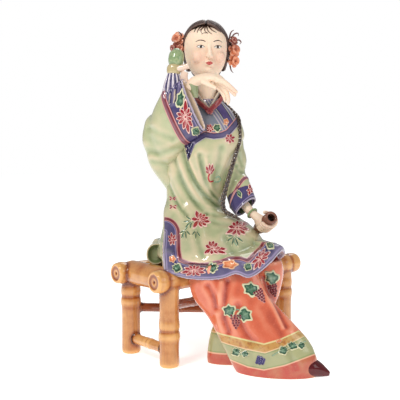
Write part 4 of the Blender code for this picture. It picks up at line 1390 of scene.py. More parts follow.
def patch(shape, place, outline, profile, middle=None):
    """A closed pad of slip on a surface: its outline shrinks towards the middle through a profile of
    (share of the way to the outline, height)."""
    count = len(outline)
    outline = [Vector(p) for p in outline]
    middle = Vector(middle) if middle else sum(outline, Vector((0, 0))) / count
    rings = []
    for share, height in profile:

        def ring(turn, share=share, height=height):
            flat = middle.lerp(outline[round(turn * count) % count], share)
            return place(flat.x, flat.y, height)

        rings.append(ring)
    ring_loft(shape, rings, count, marks=[share for share, _ in profile])


def strip(route, widths, steps=6):
    """The outline of a brush stroke along a route, as wide at each point as widths says."""
    rows = smooth_rows([(*p, w) for p, w in zip(route, widths)], steps)
    left, right = [], []
    for k, (x, y, w) in enumerate(rows):
        a, b = rows[max(k - 1, 0)], rows[min(k + 1, len(rows) - 1)]
        along = Vector((b[0] - a[0], b[1] - a[1])).normalized()
        across = Vector((-along.y, along.x)) * w / 2
        left.append(Vector((x, y)) + across)
        right.append(Vector((x, y)) - across)
    return left, right


def stroke(shape, place, route, widths, height, steps=6):
    """A closed raised brush stroke, laid on a surface as a row of ribs across its route."""
    left, right = strip(route, widths, steps)
    last = len(left) - 1

    def rib(k):
        def ring(turn):
            c, s = math.cos(math.tau * turn), math.sin(math.tau * turn)
            flat = left[k].lerp(right[k], 0.5 - 0.5 * c)
            fade = 1.0 if 0 < k < last else 0.3
            return place(flat.x, flat.y, height * s * fade if s > 0 else 0.35 * s)

        return ring

    ring_loft(shape, [rib(k) for k in range(last + 1)], 8)


on_face = draped(head_surface, FACE_MIDDLE + Vector((0, 0, EYE_LEVEL)) + HEAD_FRONT * 20, HEAD_FRONT)
whites, irises, ink, lips = (bmesh.new() for _ in range(4))
for side in (-1, 1):
    eye = [
        (-3.3, -0.1), (-1.8, 0.95), (0, 1.35), (1.9, 0.95), (3.3, 0.1), (1.6, -0.75), (0, -0.95),
        (-1.8, -0.75),
    ]
    eye = [(side * EYE_APART + side * x, y) for x, y in eye]
    outline = smooth_loop(eye if side > 0 else eye[::-1], 3)
    patch(whites, on_face, outline, ((0.2, 0.2), (0.8, 0.2), (1.0, 0.1), (1.04, -0.3), (0.3, -0.5)))
    iris = [
        (side * EYE_APART + 1.15 * math.cos(a), 0.15 + 1.15 * math.sin(a))
        for a in np.linspace(0, math.tau, 17)[:-1]
    ]
    patch(irises, on_face, iris, ((0.2, 0.36), (0.8, 0.36), (1.0, 0.22), (1.02, -0.3), (0.3, -0.5)))
    lash = [
        (side * (EYE_APART + x), y)
        for x, y in ((-3.5, -0.2), (-1.8, 0.95), (0, 1.45), (1.9, 1.1), (3.8, 0.5))
    ]
    stroke(ink, on_face, lash, (0.3, 0.6, 0.75, 0.7, 0.3), 0.4)
    under = [(side * (EYE_APART + x), y) for x, y in ((-2.4, -0.65), (0, -1.0), (1.8, -0.8), (3.2, 0.0))]
    stroke(ink, on_face, under, (0.12, 0.22, 0.22, 0.15), 0.25)
    brow = [(side * (EYE_APART + x), y) for x, y in ((-4.0, 4.6), (-1.4, 5.7), (1.6, 5.9), (4.6, 4.7))]
    stroke(ink, on_face, brow, (0.5, 0.85, 0.7, 0.25), 0.3)
mouth = 263.4 - EYE_LEVEL
upper = [
    (-3.6, 0), (-1.8, 0.95), (-0.7, 1.3), (0, 1.0), (0.7, 1.3), (1.8, 0.95), (3.6, 0), (1.6, 0.05), (0, -0.1),
    (-1.6, 0.05),
]
lower = [
    (-3.2, -0.1), (-1.6, -0.15), (0, -0.3), (1.6, -0.15), (3.2, -0.1), (1.7, -1.3), (0, -1.75), (-1.7, -1.3),
]
LIP_PROFILE = ((0.2, 0.75), (0.6, 0.6), (0.9, 0.3), (1.0, 0.05), (1.03, -0.4), (0.3, -0.6))
for points in (upper[::-1], lower):
    patch(lips, on_face, smooth_loop([(x, y + mouth) for x, y in points], 3), LIP_PROFILE)


def finish_slip(name, shape, material):
    """Finishes pads of slip that are laid on another piece."""
    bmesh.ops.recalc_face_normals(shape, faces=shape.faces[:])
    mesh = mesh_of(shape, name)
    paint_hollows(mesh, 3, 0.3)
    finish_piece(name, mesh, material)


eye_glaze = glaze_material(
    "eye_white", rgb(240, 234, 224), rgb(248, 244, 238), rgb(222, 208, 196), strength=0.5,
)
finish_slip("eye_whites", whites, eye_glaze)
iris_ink = glaze_material("iris_ink", rgb(34, 24, 20), rgb(70, 50, 40), rgb(14, 10, 8), strength=0.6)
finish_slip("irises", irises, iris_ink)
brow_ink = glaze_material(
    "brow_ink", rgb(48, 34, 28), rgb(90, 68, 56), rgb(24, 16, 12), roughness=0.4, coat=0.1,
)
finish_slip("brows_and_lashes", ink, brow_ink)
lip_red = glaze_material(
    "lip_red", rgb(198, 58, 60), rgb(224, 110, 104), rgb(160, 30, 40), roughness=0.3, strength=0.6,
)
finish_slip("lips", lips, lip_red)

# Her hair: dark brown clay combed flat from a middle parting over the ears, with a knot at each side. The
# comb's grooves are scratched along it, and a few loose wisps are painted on the brow.
HAIR_CAP = (
    (-3.2, 6, 262, 18, 17),
    (-3.2, 5, 270, 20.6, 20),
    (-3.3, 3, 280, 22, 24),
    (-3.4, 1, 289, 20.8, 26.4),
    (-3.4, 0, 296, 17.2, 23.6),
    (-3.4, 0, 301, 12.4, 17.4),
    (-3.4, 0, 304, 6.5, 9),
    (-3.4, 0, 304.7, 2, 3),
)
# The brow's hairline in the picture, from her right ear over the parting to her left
HAIRLINE = (
    (180, 70), (182.5, 52), (184, 40), (189, 30), (196, 25), (205, 22.8), (213, 25.5), (220, 32), (224.5, 42),
    (226, 56), (225, 72),
)
hair_forms = bmesh.new()
tower(hair_forms, HAIR_CAP, 64)
for side in (-1, 1):
    middle = -3.3 + side * 17.4
    lock = ((middle, 1, 288, 3.6, 11.6), (middle, 3, 272, 3.5, 11.4), (middle - side * 1.6, 5, 260, 2.4, 8.6))
    limb(hair_forms, lock, (1, 0, 0))
    ball(hair_forms, (-3.3 + side * 21.4, 5, 279), (4.6, 7.0, 9.0), 0, 20)
ball(hair_forms, (-3, 16, 262), (14.6, 9.8, 10.8), 0, 24)
hair_skin = melt(hair_forms, 0.6, 3)


def open_the_face(skin, hairline):
    """Pulls the cap in behind the face wherever the picture shows skin, with a rounded rim along the
    hairline."""
    places = skin_places(skin)
    picture = in_the_picture(places)
    line = smooth_rows(hairline, 6)
    inner = np.array([(x, y) for x, y in line])
    edge = np.interp(picture[:, 0], inner[:, 0], inner[:, 1], left=400, right=400)
    depth = np.minimum(picture[:, 1] - edge, 30)
    depth = np.where(depth > 0, line_distance(picture, line), 0)
    for v, inside, place in zip(skin.verts, depth, places):
        if inside > 0 and place[1] < 4:
            sunk = min(inside / 1.6, 1.0)
            v.co.y += (6 + 0.35 * inside) * sunk * sunk


open_the_face(hair_skin, HAIRLINE)


def comb(skin, depth, teeth):
    """Scratches grooves that run from the parting down over each side of the head."""
    skin.normal_update()
    places = skin_places(skin)
    from_middle = places - np.array((-3.2, 2.0, 283.0))
    angle = np.arctan2(from_middle[:, 1], np.hypot(from_middle[:, 2], from_middle[:, 0]))
    wander = 0.5 * np.sin(from_middle[:, 0] * 0.35) + 0.4 * np.sin(from_middle[:, 2] * 0.27)
    wave = np.sin(angle * teeth + wander) + 0.5 * np.sin(angle * teeth * 2.3 + 1.7 * wander)
    part = np.exp(-((np.abs(from_middle[:, 0]) / 0.9) ** 2)) * (from_middle[:, 2] > 5)
    for v, rise, groove in zip(skin.verts, wave * depth, part):
        v.co += v.normal * (rise - 0.9 * groove)


comb(hair_skin, 0.16, 58)
WISPS = (
    ((206, 23), (201, 24.5), (196.5, 28), (194, 32.5)),
    ((206, 23.5), (202, 26), (198.5, 29.5), (197, 33)),
    ((206, 24), (203.5, 27), (201, 30.5), (201.5, 33)),
    ((206.5, 24), (205, 28), (205, 31), (208, 33.5)),
    ((206.5, 23.5), (207, 28), (208.5, 31.5), (212, 34.2)),
    ((207, 23.5), (209.5, 27.5), (212.5, 30.5), (216.5, 32.5)),
    ((207.5, 23), (211.5, 26), (215, 28.5), (219, 31.5)),
    ((205, 23), (199, 24), (194.5, 26.5), (192.5, 30)),
    ((206, 23.5), (204.5, 26), (202.5, 28.5), (199, 30.5)),
)
wisp_shape = bmesh.new()


def in_pixels(surface):
    """A function that lays a point (across, down, height), drawn in the picture's pixels, onto a piece."""

    def place(across, down, height):
        way = sight_line(across, down)
        hit, normal, _, _ = surface.ray_cast(CAMERA_POINT, way)
        if hit is None:
            hit, normal, _, _ = surface.find_nearest(CAMERA_POINT + way * 650)
        return hit + normal * height

    return place


for wisp in WISPS:
    stroke(wisp_shape, in_pixels(head_surface), wisp, (1.5, 1.4, 1.0, 0.3), 0.5)
wisp_brown = glaze_material(
    "wisp_brown", rgb(66, 42, 34), rgb(104, 76, 62), rgb(34, 20, 16), roughness=0.4, coat=0.1,
)
finish_slip("brow_wisps", wisp_shape, wisp_brown)
hair_mesh = mesh_of(hair_skin, "hair")
paint_hollows(hair_mesh, 4, 0.14)
HAIR = rgb(56, 38, 35)
hair_paint = glaze_material(
    "hair_colour", HAIR, rgb(124, 98, 88), rgb(16, 10, 9), roughness=0.42, coat=0.1, strength=0.7,
)
finish_piece("hair", hair_mesh, hair_paint)

# The plait: three rolled strands of dark brown clay that pass over each other. It comes from the back of her
# head over her left shoulder, lies on her chest and ends in her lap.
BRAID = (
    (0, 15, 254, 5),
    (6, 11, 241, 4),
    (12, 7, 230, 3.0),
    (20.5, 0, 222, 2.2),
    (26.3, -7.5, 215, 1.9),
    (27.5, -14, 206, 1.7),
    (27.2, -18.5, 194, 1.8),
    (22.9, -25, 180, 2.0),
    (18.3, -29, 165, 2.1),
    (14, -29.5, 150, 2.2),
    (11.8, -29.5, 139, 2.2),
    (13.5, -31, 131.5, 2.0),
    (20, -34, 127.5, 1.7),
    (27, -36, 124, 1.2),
)
PLAIT_LENGTH = 6.0


def plait(shape, route, length, steps=14):
    """Three strands that pass over each other along a route of (x, y, z, radius)."""
    rows = smooth_rows(route, steps)
    centres = [Vector(row[:3]) for row in rows]
    run = [0.0]
    for a, b in zip(centres, centres[1:]):
        run.append(run[-1] + (b - a).length)
    for strand in range(3):
        stations = []
        for k, (row, centre, gone) in enumerate(zip(rows, centres, run)):
            along = (centres[min(k + 1, len(rows) - 1)] - centres[max(k - 1, 0)]).normalized()
            facing = Vector((0, -1, 0))
            right = along.cross(facing).normalized()
            facing = right.cross(along).normalized()
            turn = math.tau * (gone / length / 2 + strand / 3)
            offset = right * math.sin(turn) * 0.55 * row[3] + facing * math.sin(2 * turn) * 0.32 * row[3]
            stations.append((*(centre + offset), row[3] * 0.56, row[3] * 0.56))
        limb(shape, stations[::2], (1, 0, 0), 12, 2)


braid_shape = bmesh.new()
plait(braid_shape, BRAID, PLAIT_LENGTH)
braid_paint = glaze_material(
    "braid_paint", rgb(34, 22, 20), rgb(128, 106, 88), rgb(10, 6, 6), strength=0.8, clouds=620.0,
)
finish_melted("braid", braid_shape, 0.45, 1, 6, 0.3, braid_paint)

# The hair flowers: blossoms of thin pressed clay with orange petals and dark red hearts, each on a short pin
# of clay pushed into the hair, with brown tendrils rolled out beside them. Each blossom: its middle, the way
# that it faces, how far its petals reach, and whether it is dark red
FLOWERS = (
    ((-28.8, -2.5, 287.6), (-0.45, -0.88, 0.15), 6.8, 0),
    ((-32.2, -1.5, 279.6), (-0.7, -0.7, -0.1), 4.8, 1),
    ((-26.6, -3, 279.4), (-0.2, -0.97, -0.05), 4.6, 0),
    ((22, -2.4, 286), (0.4, -0.85, 0.3), 4.6, 1),
    ((22.6, -2.8, 277.4), (0.5, -0.85, 0.15), 6.6, 0),
    ((22.2, -2, 267.8), (0.55, -0.82, -0.1), 6.4, 0),
)
TENDRILS = (
    (
        (19, -2, 284, 0.8, 0.8), (22, -4.5, 291, 0.8, 0.8), (26, -5, 292.5, 0.6, 0.6),
        (26.5, -5.5, 289.6, 0.3, 0.3),
    ),
    (
        (20, -2, 282, 0.8, 0.8), (26, -4.5, 286.5, 0.8, 0.8), (29, -5, 284.5, 0.6, 0.6),
        (27.5, -5.5, 282.4, 0.3, 0.3),
    ),
    ((18, -1, 286, 0.8, 0.8), (19.5, -4, 293, 0.7, 0.7), (22.5, -5, 295.5, 0.4, 0.4)),
    ((19, -2, 264, 0.8, 0.8), (20, -4, 259, 0.6, 0.6), (22, -5, 256.5, 0.3, 0.3)),
    ((-25, -3, 285, 0.8, 0.8), (-25.5, -5, 291, 0.8, 0.8), (-29, -5.5, 294, 0.4, 0.4)),
)
flower_shape = bmesh.new()
for number, (middle, outward, size, red) in enumerate(FLOWERS):
    middle = Vector(middle)
    outward = Vector(outward).normalized()
    side = outward.cross(Vector((0, 0, 1))).normalized()
    above = side.cross(outward)
    ball(flower_shape, middle, (size * 0.34, size * 0.34, size * 0.34), 0, 12)
    pin = middle + (Vector((-3.3, 6, middle.z)) - middle).normalized() * 11
    limb(
        flower_shape, ((*middle, 1.5, 1.5), (*middle.lerp(pin, 0.5), 1.5, 1.5), (*pin, 1.4, 1.4)), (0, 0, 1),
        10, 3,
    )
    for count, reach, lift in ((5, 1.0, 0.05), (4, 0.62, 0.42)):
        for k in range(count):
            turn = math.tau * (k + 0.31 * number + 0.5 * lift) / count
            spread = side * math.cos(turn) + above * math.sin(turn)
            long, rise = spread * size * reach, outward * size * lift
            stations = (
                (*middle, 0.8, 0.8),
                (*(middle + long * 0.42 + rise), size * 0.3, 0.8),
                (*(middle + long * 0.76 + rise * 1.5), size * 0.42, 0.7),
                (*(middle + long * 0.96 + rise * 1.2), size * 0.26, 0.6),
                (*(middle + long + rise), 0.5, 0.4),
            )
            limb(flower_shape, stations, spread.cross(outward), 12, 3)
flower_mesh = mesh_of(melt(flower_shape, 0.4, 1, one_skin=False), "hair_flowers")
flower_places = vertex_places(flower_mesh)
to_hearts = [
    np.linalg.norm(flower_places - np.array(m), axis=1) / (size * (0.5 + 2 * red))
    for m, _, size, red in FLOWERS
]
paint_attribute(flower_mesh, "heart", np.clip(1.15 - np.min(to_hearts, axis=0), 0, 1))
paint_hollows(flower_mesh, 4, 0.3)


def blossom_colour(tree):
    return mix(tree, stored(tree, "heart"), rgb(230, 140, 98), rgb(120, 18, 26))


flower_paint = glaze_material(
    "blossom_orange", blossom_colour, lighter(0.4), rgb(134, 30, 26), roughness=0.3, coat=0.3, clouds=300.0,
)
finish_piece("hair_flowers", flower_mesh, flower_paint)
tendril_shape = bmesh.new()
for tendril in TENDRILS:
    limb(tendril_shape, tendril, (0, 1, 0), 10, 6)
tendril_mesh = mesh_of(melt(tendril_shape, 0.35, 1, one_skin=False), "hair_tendrils")
paint_hollows(tendril_mesh, 4, 0.3)
tendril_paint = glaze_material("tendril_brown", rgb(70, 26, 24), rgb(128, 66, 54), rgb(26, 8, 8))
finish_piece("hair_tendrils", tendril_mesh, tendril_paint)

# Her hands: the right one bent at the wrist below her chin, the left a loose fist round the flute, both of
# the same pale clay, and a jade bangle on the left wrist.
FLUTE_END = Vector((54, -47, 127))
FLUTE_WAY = Vector((0.30, -0.86, 0.42)).normalized()
FLUTE_RADIUS = 5.8


def finger(shape, joints, thick, thin):
    last = len(joints) - 1
    stations = [
        (*p, thick + (thin - thick) * k / last, thick + (thin - thick) * k / last)
        for k, p in enumerate(joints)
    ]
    limb(shape, stations, (0, 1, 0.3), 14, 5)
    ball(shape, joints[-1], (thin, thin, thin), 0, 12)


hand_shape = bmesh.new()
limb(
    hand_shape,
    (
        (-18, -31, 240, 5, 5),
        (-14, -33, 245.5, 5.2, 4.8),
        (-7, -36, 248.3, 6.2, 4.4),
        (1, -39, 249.2, 7.4, 4.2),
        (7, -42, 247.6, 7.4, 3.8),
        (10.5, -43.5, 245.2, 6.2, 3.2),
    ),
    (0, 1, 0.2),
)
finger(hand_shape, ((5, -47, 247), (11.5, -49, 244.6), (17.5, -51, 240), (22.5, -52, 235.6)), 3.0, 1.5)
finger(
    hand_shape, ((6, -43.5, 246.4), (12.5, -46, 242.2), (17.6, -48, 237.6), (21.4, -49.5, 233.2)), 3.0, 1.5)
finger(
    hand_shape, ((6, -40, 245), (11, -42.5, 240.4), (14.6, -44.5, 235), (16, -46, 229.6), (15.6, -47, 226.2)),
    2.8, 1.4,
)
finger(hand_shape, ((4, -37, 243.6), (9, -39.5, 238.6), (12, -41.5, 233.2), (13.2, -43, 228.4)), 2.7, 1.3)
finger(hand_shape, ((-7, -41, 246), (-1, -44.5, 242.6), (4.5, -46, 239.6)), 2.8, 1.7)
hand_mesh = mesh_of(melt(hand_shape, 0.45, 3), "right_hand")
paint_attribute(hand_mesh, "blush", np.clip((vertex_places(hand_mesh)[:, 0] - 12) / 14, 0, 0.7))
paint_hollows(hand_mesh, 8, 0.5)
finish_piece("right_hand", hand_mesh, skin_clay)

fist_shape = bmesh.new()
limb(
    fist_shape,
    (
        (28, -21, 142, 4.2, 4.2), (34, -28, 133.5, 4.2, 4), (39, -32.5, 128.5, 3.7, 3.7),
        (44, -35, 124.5, 4.4, 4.4), (48, -35.5, 122, 4.6, 4.6),
    ),
    (1, 0, 0), 20,
)
grip = FLUTE_END - FLUTE_WAY * 13
ball(fist_shape, grip + Vector((-4.5, 2, 0.5)), (5.2, 7.6, 5.6), 0.4, 20)
across = FLUTE_WAY.cross(Vector((0, 0, 1))).normalized()
over = across.cross(FLUTE_WAY)
reach = FLUTE_RADIUS + 1.1
for k in range(4):
    middle = grip + FLUTE_WAY * (6.6 - 3.9 * k)
    joints = [
        middle + across * math.cos(a) * reach + over * math.sin(a) * reach
        for a in (math.radians(x) for x in (150, 200, 250, 300, 335))
    ]
    finger(fist_shape, joints, 2.2, 1.4)
thumb = [grip + across * x + over * z + FLUTE_WAY * y for x, y, z in ((-6, -2, 4), (-2, 3, 7.2), (3, 7, 7.0))]
finger(fist_shape, thumb, 2.4, 1.6)
fist_mesh = mesh_of(melt(fist_shape, 0.45, 3), "left_hand")
paint_attribute(fist_mesh, "blush", np.clip((-40 - vertex_places(fist_mesh)[:, 1]) / 14, 0, 0.6))
paint_hollows(fist_mesh, 8, 0.5)
finish_piece("left_hand", fist_mesh, skin_clay)


def bangle(shape, centre, way, wide, thick):
    """A ring of round section about an axis, swept with the spin operator."""
    way = Vector(way).normalized()
    side = way.orthogonal().normalized()
    section = bmesh.ops.create_circle(shape, segments=12, radius=thick, cap_ends=False)["verts"]
    turn = Matrix((side, way, side.cross(way))).transposed().to_4x4()
    bmesh.ops.transform(shape, matrix=Matrix.Translation(Vector(centre) + side * wide) @ turn, verts=section)
    edges = list({e for v in section for e in v.link_edges})
    bmesh.ops.spin(
        shape, geom=section + edges, cent=centre, axis=way, angle=math.tau, steps=40, use_merge=True)
    bmesh.ops.remove_doubles(shape, verts=shape.verts[:], dist=0.01)


bangle_shape = bmesh.new()
bangle(bangle_shape, Vector((38.2, -31.8, 129.2)), (5, -4.6, -4.8), 4.7, 1.0)
jade = glaze_material("jade", rgb(104, 132, 84), rgb(170, 186, 130), rgb(56, 84, 50), roughness=0.12)
finish_melted("jade_bangle", bangle_shape, 0.35, 1, 6, 0.4, jade)

# The flute: a short pipe of dark brown glazed clay with a ring near its end and a blind bore. It is pressed
# into her left hand before the firing, with the bore open towards the camera.
flute_shape = bmesh.new()
side = FLUTE_WAY.orthogonal().normalized()
deep = FLUTE_WAY.cross(side)
FLUTE_PROFILE = (
    (-30.0, 4.6),
    (-29.6, 5.5),
    (-28, 5.7),
    (-3.2, 5.7),
    (-2.8, 5.3),
    (-2.2, 5.3),
    (-1.8, 5.8),
    (-0.5, 5.8),
    (-0.1, 5.4),
    (0.0, 4.6),
    (-0.1, 3.8),
    (-0.6, 3.3),
    (-4, 3.0),
    (-8.8, 3.0),
    (-9, 2.4),
)
rings = [oval(FLUTE_END + FLUTE_WAY * at, side * r, deep * r) for at, r in FLUTE_PROFILE]
ring_loft(flute_shape, rings, 40)
bmesh.ops.recalc_face_normals(flute_shape, faces=flute_shape.faces[:])
flute_mesh = mesh_of(flute_shape, "flute_pipe")
# The bore is painted with the glaze's near black pool colour: painted shade down the hole.
shaded_bore = np.array([(Vector(p) - FLUTE_END).cross(FLUTE_WAY).length < 3.5 for p in vertex_places(flute_mesh)])
paint_attribute(flute_mesh, "hollow", np.where(shaded_bore, 1.0, 0.0))
flute_glaze = glaze_material(
    "flute_glaze", rgb(124, 74, 56), rgb(190, 146, 110), rgb(24, 12, 10), roughness=0.2,
)
finish_piece("flute_pipe", flute_mesh, flute_glaze, "flute")

# The bench: cast bamboo canes luted together, under a honey glaze that pools brown at the nodes and joints,
# a brown that is also painted shade. The thin crossed braces underneath are brushed dark brown, and dark
# brown rings round the legs where the stretchers meet them are painted shadow.
LEG_X, LEG_Y = 69.5, 29.0
RAIL_Z, RAIL_X = 74.75, 86.2
LONG_RAIL, SHORT_RAIL, LEG, STRETCHER, BRACE, SLAT = 18.5, 21.5, 17.5, 9.5, 8.6, 9.0
CANE_WAIST, CANE_BULGE = 0.93, 1.09
BRACES = (
    ((-LEG_X, LEG_Y, 42), (LEG_X, -LEG_Y, 29)),
    ((-LEG_X, -LEG_Y, 53), (LEG_X, LEG_Y, 37)),
)
STRETCHERS = (
    ((-LEG_X, -LEG_Y, 14), (-LEG_X, LEG_Y, 14)),
    ((LEG_X, -LEG_Y, 42), (LEG_X, LEG_Y, 42)),
)


# A joint's swelling along a cane: shares of the joint's half length, and of the cane's radius
CANE_JOINT = (
    (-3.4, 0.97), (-2.0, 0.99), (-1.1, CANE_BULGE), (-0.5, 1.06), (-0.12, 0.99),
    (0.12, 0.985), (0.6, 1.05), (1.2, 1.05), (2.0, 0.99), (3.4, 0.97),
)


def cane(shape, start, end, diameter, joints, capped=False, sides=32):
    """A bamboo cane: a slight waist between its joints, and a double ring at each of them."""
    start, end = Vector(start), Vector(end)
    way = (end - start).normalized()
    length = (end - start).length
    radius = diameter / 2
    half = 0.05 * diameter / LEG * 100 / length
    profile = [(0.0, 0.90), (0.5 / length, 0.96), (1.5 / length, 1.0)]
    for joint in joints:
        profile += [(joint + offset * half, swell) for offset, swell in CANE_JOINT]
    profile += [((a + b) / 2, CANE_WAIST) for a, b in zip(joints, joints[1:])]
    profile += [(1 - 1.5 / length, 1.0), (1 - 0.5 / length, 0.96), (1.0, 0.90)]
    profile = sorted(p for p in profile if 0 <= p[0] <= 1)
    side = way.orthogonal().normalized()
    deep = way.cross(side)
    rings = [
        oval(start + way * length * at, side * radius * swell, deep * radius * swell)
        for at, swell in profile
    ]
    ring_loft(shape, rings, sides)
    if capped:
        for face in [f for f in shape.faces if len(f.verts) == sides]:
            middle = face.calc_center_median()
            outward = way if (middle - end).length < (middle - start).length else -way
            if min((middle - end).length, (middle - start).length) > radius / 2:
                continue
            for inset, push in ((0.14, 0.0), (0.2, -0.1), (0.24, 0.06), (0.16, -0.02), (0.08, -0.25)):
                bmesh.ops.inset_region(shape, faces=[face], thickness=radius * inset, use_even_offset=False)
                bmesh.ops.translate(shape, verts=face.verts[:], vec=outward * radius * push)


bench_forms = bmesh.new()
for y in (-LEG_Y, LEG_Y):
    cane(bench_forms, (-RAIL_X, y, RAIL_Z), (RAIL_X, y, RAIL_Z), LONG_RAIL, (0.067, 0.5, 0.933), True)
for x in (-LEG_X, LEG_X):
    cane(bench_forms, (x, -LEG_Y, RAIL_Z), (x, LEG_Y, RAIL_Z), SHORT_RAIL, ())
    for y in (-LEG_Y, LEG_Y):
        joint = 0.42 if (x, y) == (-LEG_X, -LEG_Y) else 0.70
        cane(bench_forms, (x, y, 0), (x, y, RAIL_Z), LEG, (joint,))
for start, end in STRETCHERS:
    cane(bench_forms, start, end, STRETCHER, (0.5,), False, 20)
for start, end in BRACES:
    cane(bench_forms, start, end, BRACE, (0.3, 0.7), False, 20)
panel = Matrix.Translation((0, 0, RAIL_Z - 0.7)) @ Matrix.Diagonal((2 * LEG_X, 2 * LEG_Y, 5, 1))
bmesh.ops.create_cube(bench_forms, size=1.0, matrix=panel)
for k in range(4):
    y = (k - 1.5) * (2 * LEG_Y - LONG_RAIL) / 4
    cane(bench_forms, (-LEG_X, y, RAIL_Z + 1.8), (LEG_X, y, RAIL_Z + 1.8), SLAT, ())
bench_skin = melt(bench_forms, 1.0, 2)
bench_mesh = mesh_of(bench_skin, "bench")
bench_places = vertex_places(bench_mesh)
to_brace = np.min([line_distance(bench_places, brace) for brace in BRACES], axis=0)
between = (np.abs(bench_places[:, 0]) < LEG_X - 7) & (to_brace < BRACE / 2 + 0.9)
paint_attribute(bench_mesh, "brace", np.where(between, 1.0, 0.0))
paint_hollows(bench_mesh, 7, 0.32)
# The pool colour darkens the nodes and joints: pooled glaze and painted shade together.
HONEY, HONEY_CREST, HONEY_POOL_AND_SHADE = rgb(180, 104, 46), rgb(234, 176, 106), rgb(112, 44, 12)
BRACE_BROWN = rgb(100, 42, 28)
STREAK_BROWN = rgb(150, 78, 30)
SEAT_FOOT = 0.066


def cane_streaks(tree):
    """Faint fibres along the canes: up the legs below the seat, and lengthwise in the seat."""
    place = node(tree, "TexCoord").outputs["Object"]
    seat = maths(tree, "GREATER_THAN", node(tree, "SeparateXYZ", {"Vector": place}).outputs["Z"], SEAT_FOOT)
    shares = []
    for scale in ((1.0, 1.0, 0.07), (0.07, 1.0, 1.0)):
        along = node(tree, "VectorMath", {0: place, 1: scale}, operation="MULTIPLY").outputs["Vector"]
        shares.append(node(tree, "TexNoise", {"Vector": along, "Scale": 520.0, "Detail": 3.0}).outputs["Fac"])
    up_the_legs = maths(tree, "MULTIPLY", shares[0], maths(tree, "SUBTRACT", 1.0, seat))
    streak = maths(tree, "ADD", up_the_legs, maths(tree, "MULTIPLY", shares[1], seat))
    return rising(tree, streak, 3.6, -1.75, 0.6)


def bench_colour(tree):
    return mix(tree, stored(tree, "brace"), mix(tree, cane_streaks(tree), HONEY, STREAK_BROWN), BRACE_BROWN)


def bench_crest(tree, base):
    return mix(tree, stored(tree, "brace"), HONEY_CREST, rgb(160, 92, 60))


# The canes' hollows are darkened as pooled glaze and as painted shade.
def bench_pool_and_shade(tree, base):
    return mix(tree, stored(tree, "brace"), HONEY_POOL_AND_SHADE, rgb(60, 22, 14))


# The bench stands square in the world, so its mesh is not turned with the lady.
honey_glaze = glaze_material(
    "honey_glaze", bench_colour, bench_crest, bench_pool_and_shade, roughness=0.14, strength=1.1, clouds=60.0,
)
bench_mesh.transform(Matrix.Rotation(-LADY_TURN, 4, "Z"))
finish_piece("bench", bench_mesh, honey_glaze, "bamboo_bench")

LEG_RADIUS = LEG / 2
# Dark brown rings round the legs where the stretchers enter them: painted shadow at those joints.
shadow_ring_shape = bmesh.new()
for start, end in STRETCHERS:
    for at in (start, end):
        inward = -math.copysign(LEG_RADIUS - 0.7, at[1])
        bangle(shadow_ring_shape, Vector((at[0], at[1] + inward, at[2])), (0, 1, 0), 5.3, 0.8)
shadow_ring_mesh = mesh_of(melt(shadow_ring_shape, 0.4, 1, one_skin=False), "stretcher_shadow_rings")
paint_hollows(shadow_ring_mesh, 4, 0.4)
shadow_ring_mesh.transform(Matrix.Rotation(-LADY_TURN, 4, "Z"))
shadow_ring_glaze = glaze_material("shadow_ring_glaze", rgb(70, 34, 20), rgb(130, 76, 40), rgb(24, 10, 6))
finish_piece("stretcher_shadow_rings", shadow_ring_mesh, shadow_ring_glaze, "bamboo_bench")

# Flowers, leaves, grapes and clouds in raised slip on the robe and trousers. Each is laid on the cloth where
# the picture shows it, with a pale outline that the dark glaze stops against.
SLIP_PROFILE = (
    (0.12, 0.6), (0.4, 0.55), (0.62, 0.36), (0.7, 0.36), (0.8, 0.66), (0.95, 0.55), (1.03, 0.1), (1.06, -0.5),
    (0.4, -0.9),
)
PETAL = ((0, 0), (0.3, 0.2), (0.5, 0.5), (0.34, 0.82), (0, 1), (-0.34, 0.82), (-0.5, 0.5), (-0.3, 0.2))
LEAF = (
    (0, -0.8), (0.45, -0.85), (0.95, -0.55), (0.8, -0.05), (0.95, 0.4), (0.5, 0.55),
    (0.0, 1.05), (-0.5, 0.55), (-0.95, 0.4), (-0.8, -0.05), (-0.95, -0.55), (-0.45, -0.85),
)
FAN = (
    (0, -0.9), (0.5, -0.5), (0.95, -0.1), (0.8, 0.3), (0.62, 0.32), (0.6, 0.78), (0.3, 0.62),
    (0.05, 1.0), (-0.2, 0.64), (-0.55, 0.78), (-0.6, 0.34), (-0.85, 0.25), (-0.95, -0.1), (-0.5, -0.5),
)
POINT = ((-1, 1), (0, 1.05), (1, 1), (0.3, -0.4), (0.0, -1), (-0.3, -0.4))


def petal(shape, place, root, tip, width):
    root, tip = Vector(root), Vector(tip)
    along = tip - root
    across = Vector((-along.y, along.x)).normalized() * width
    outline = [root + along * y + across * x for x, y in PETAL]
    patch(shape, place, smooth_loop([tuple(p) for p in outline], 3), SLIP_PROFILE)


def pad(shape, place, pattern, centre, half, degrees, steps=3):
    """A pad in the shape of a pattern, half as wide and as high as half says, in pixels."""
    c, s = math.cos(math.radians(degrees)), math.sin(math.radians(degrees))
    outline = [
        (centre[0] + half[0] * x * c + half[1] * y * s, centre[1] + half[0] * x * s - half[1] * y * c)
        for x, y in pattern
    ]
    patch(shape, place, smooth_loop(outline, steps), SLIP_PROFILE)


def bead(shape, place, centre, radius, rise):
    outline = [
        (centre[0] + radius * math.cos(a), centre[1] + radius * math.sin(a))
        for a in np.linspace(0, math.tau, 15)[:-1]
    ]
    profile = ((0.15, rise), (0.5, rise * 0.86), (0.8, rise * 0.55), (1.0, 0.1), (1.02, -0.5), (0.3, -0.7))
    patch(shape, place, outline, profile)


CLOUD = [
    (math.cos(a) * (1 + 0.14 * math.cos(5 * a)), math.sin(a) * (1 + 0.14 * math.cos(5 * a)))
    for a in np.linspace(0, math.tau, 31)[:-1]
]
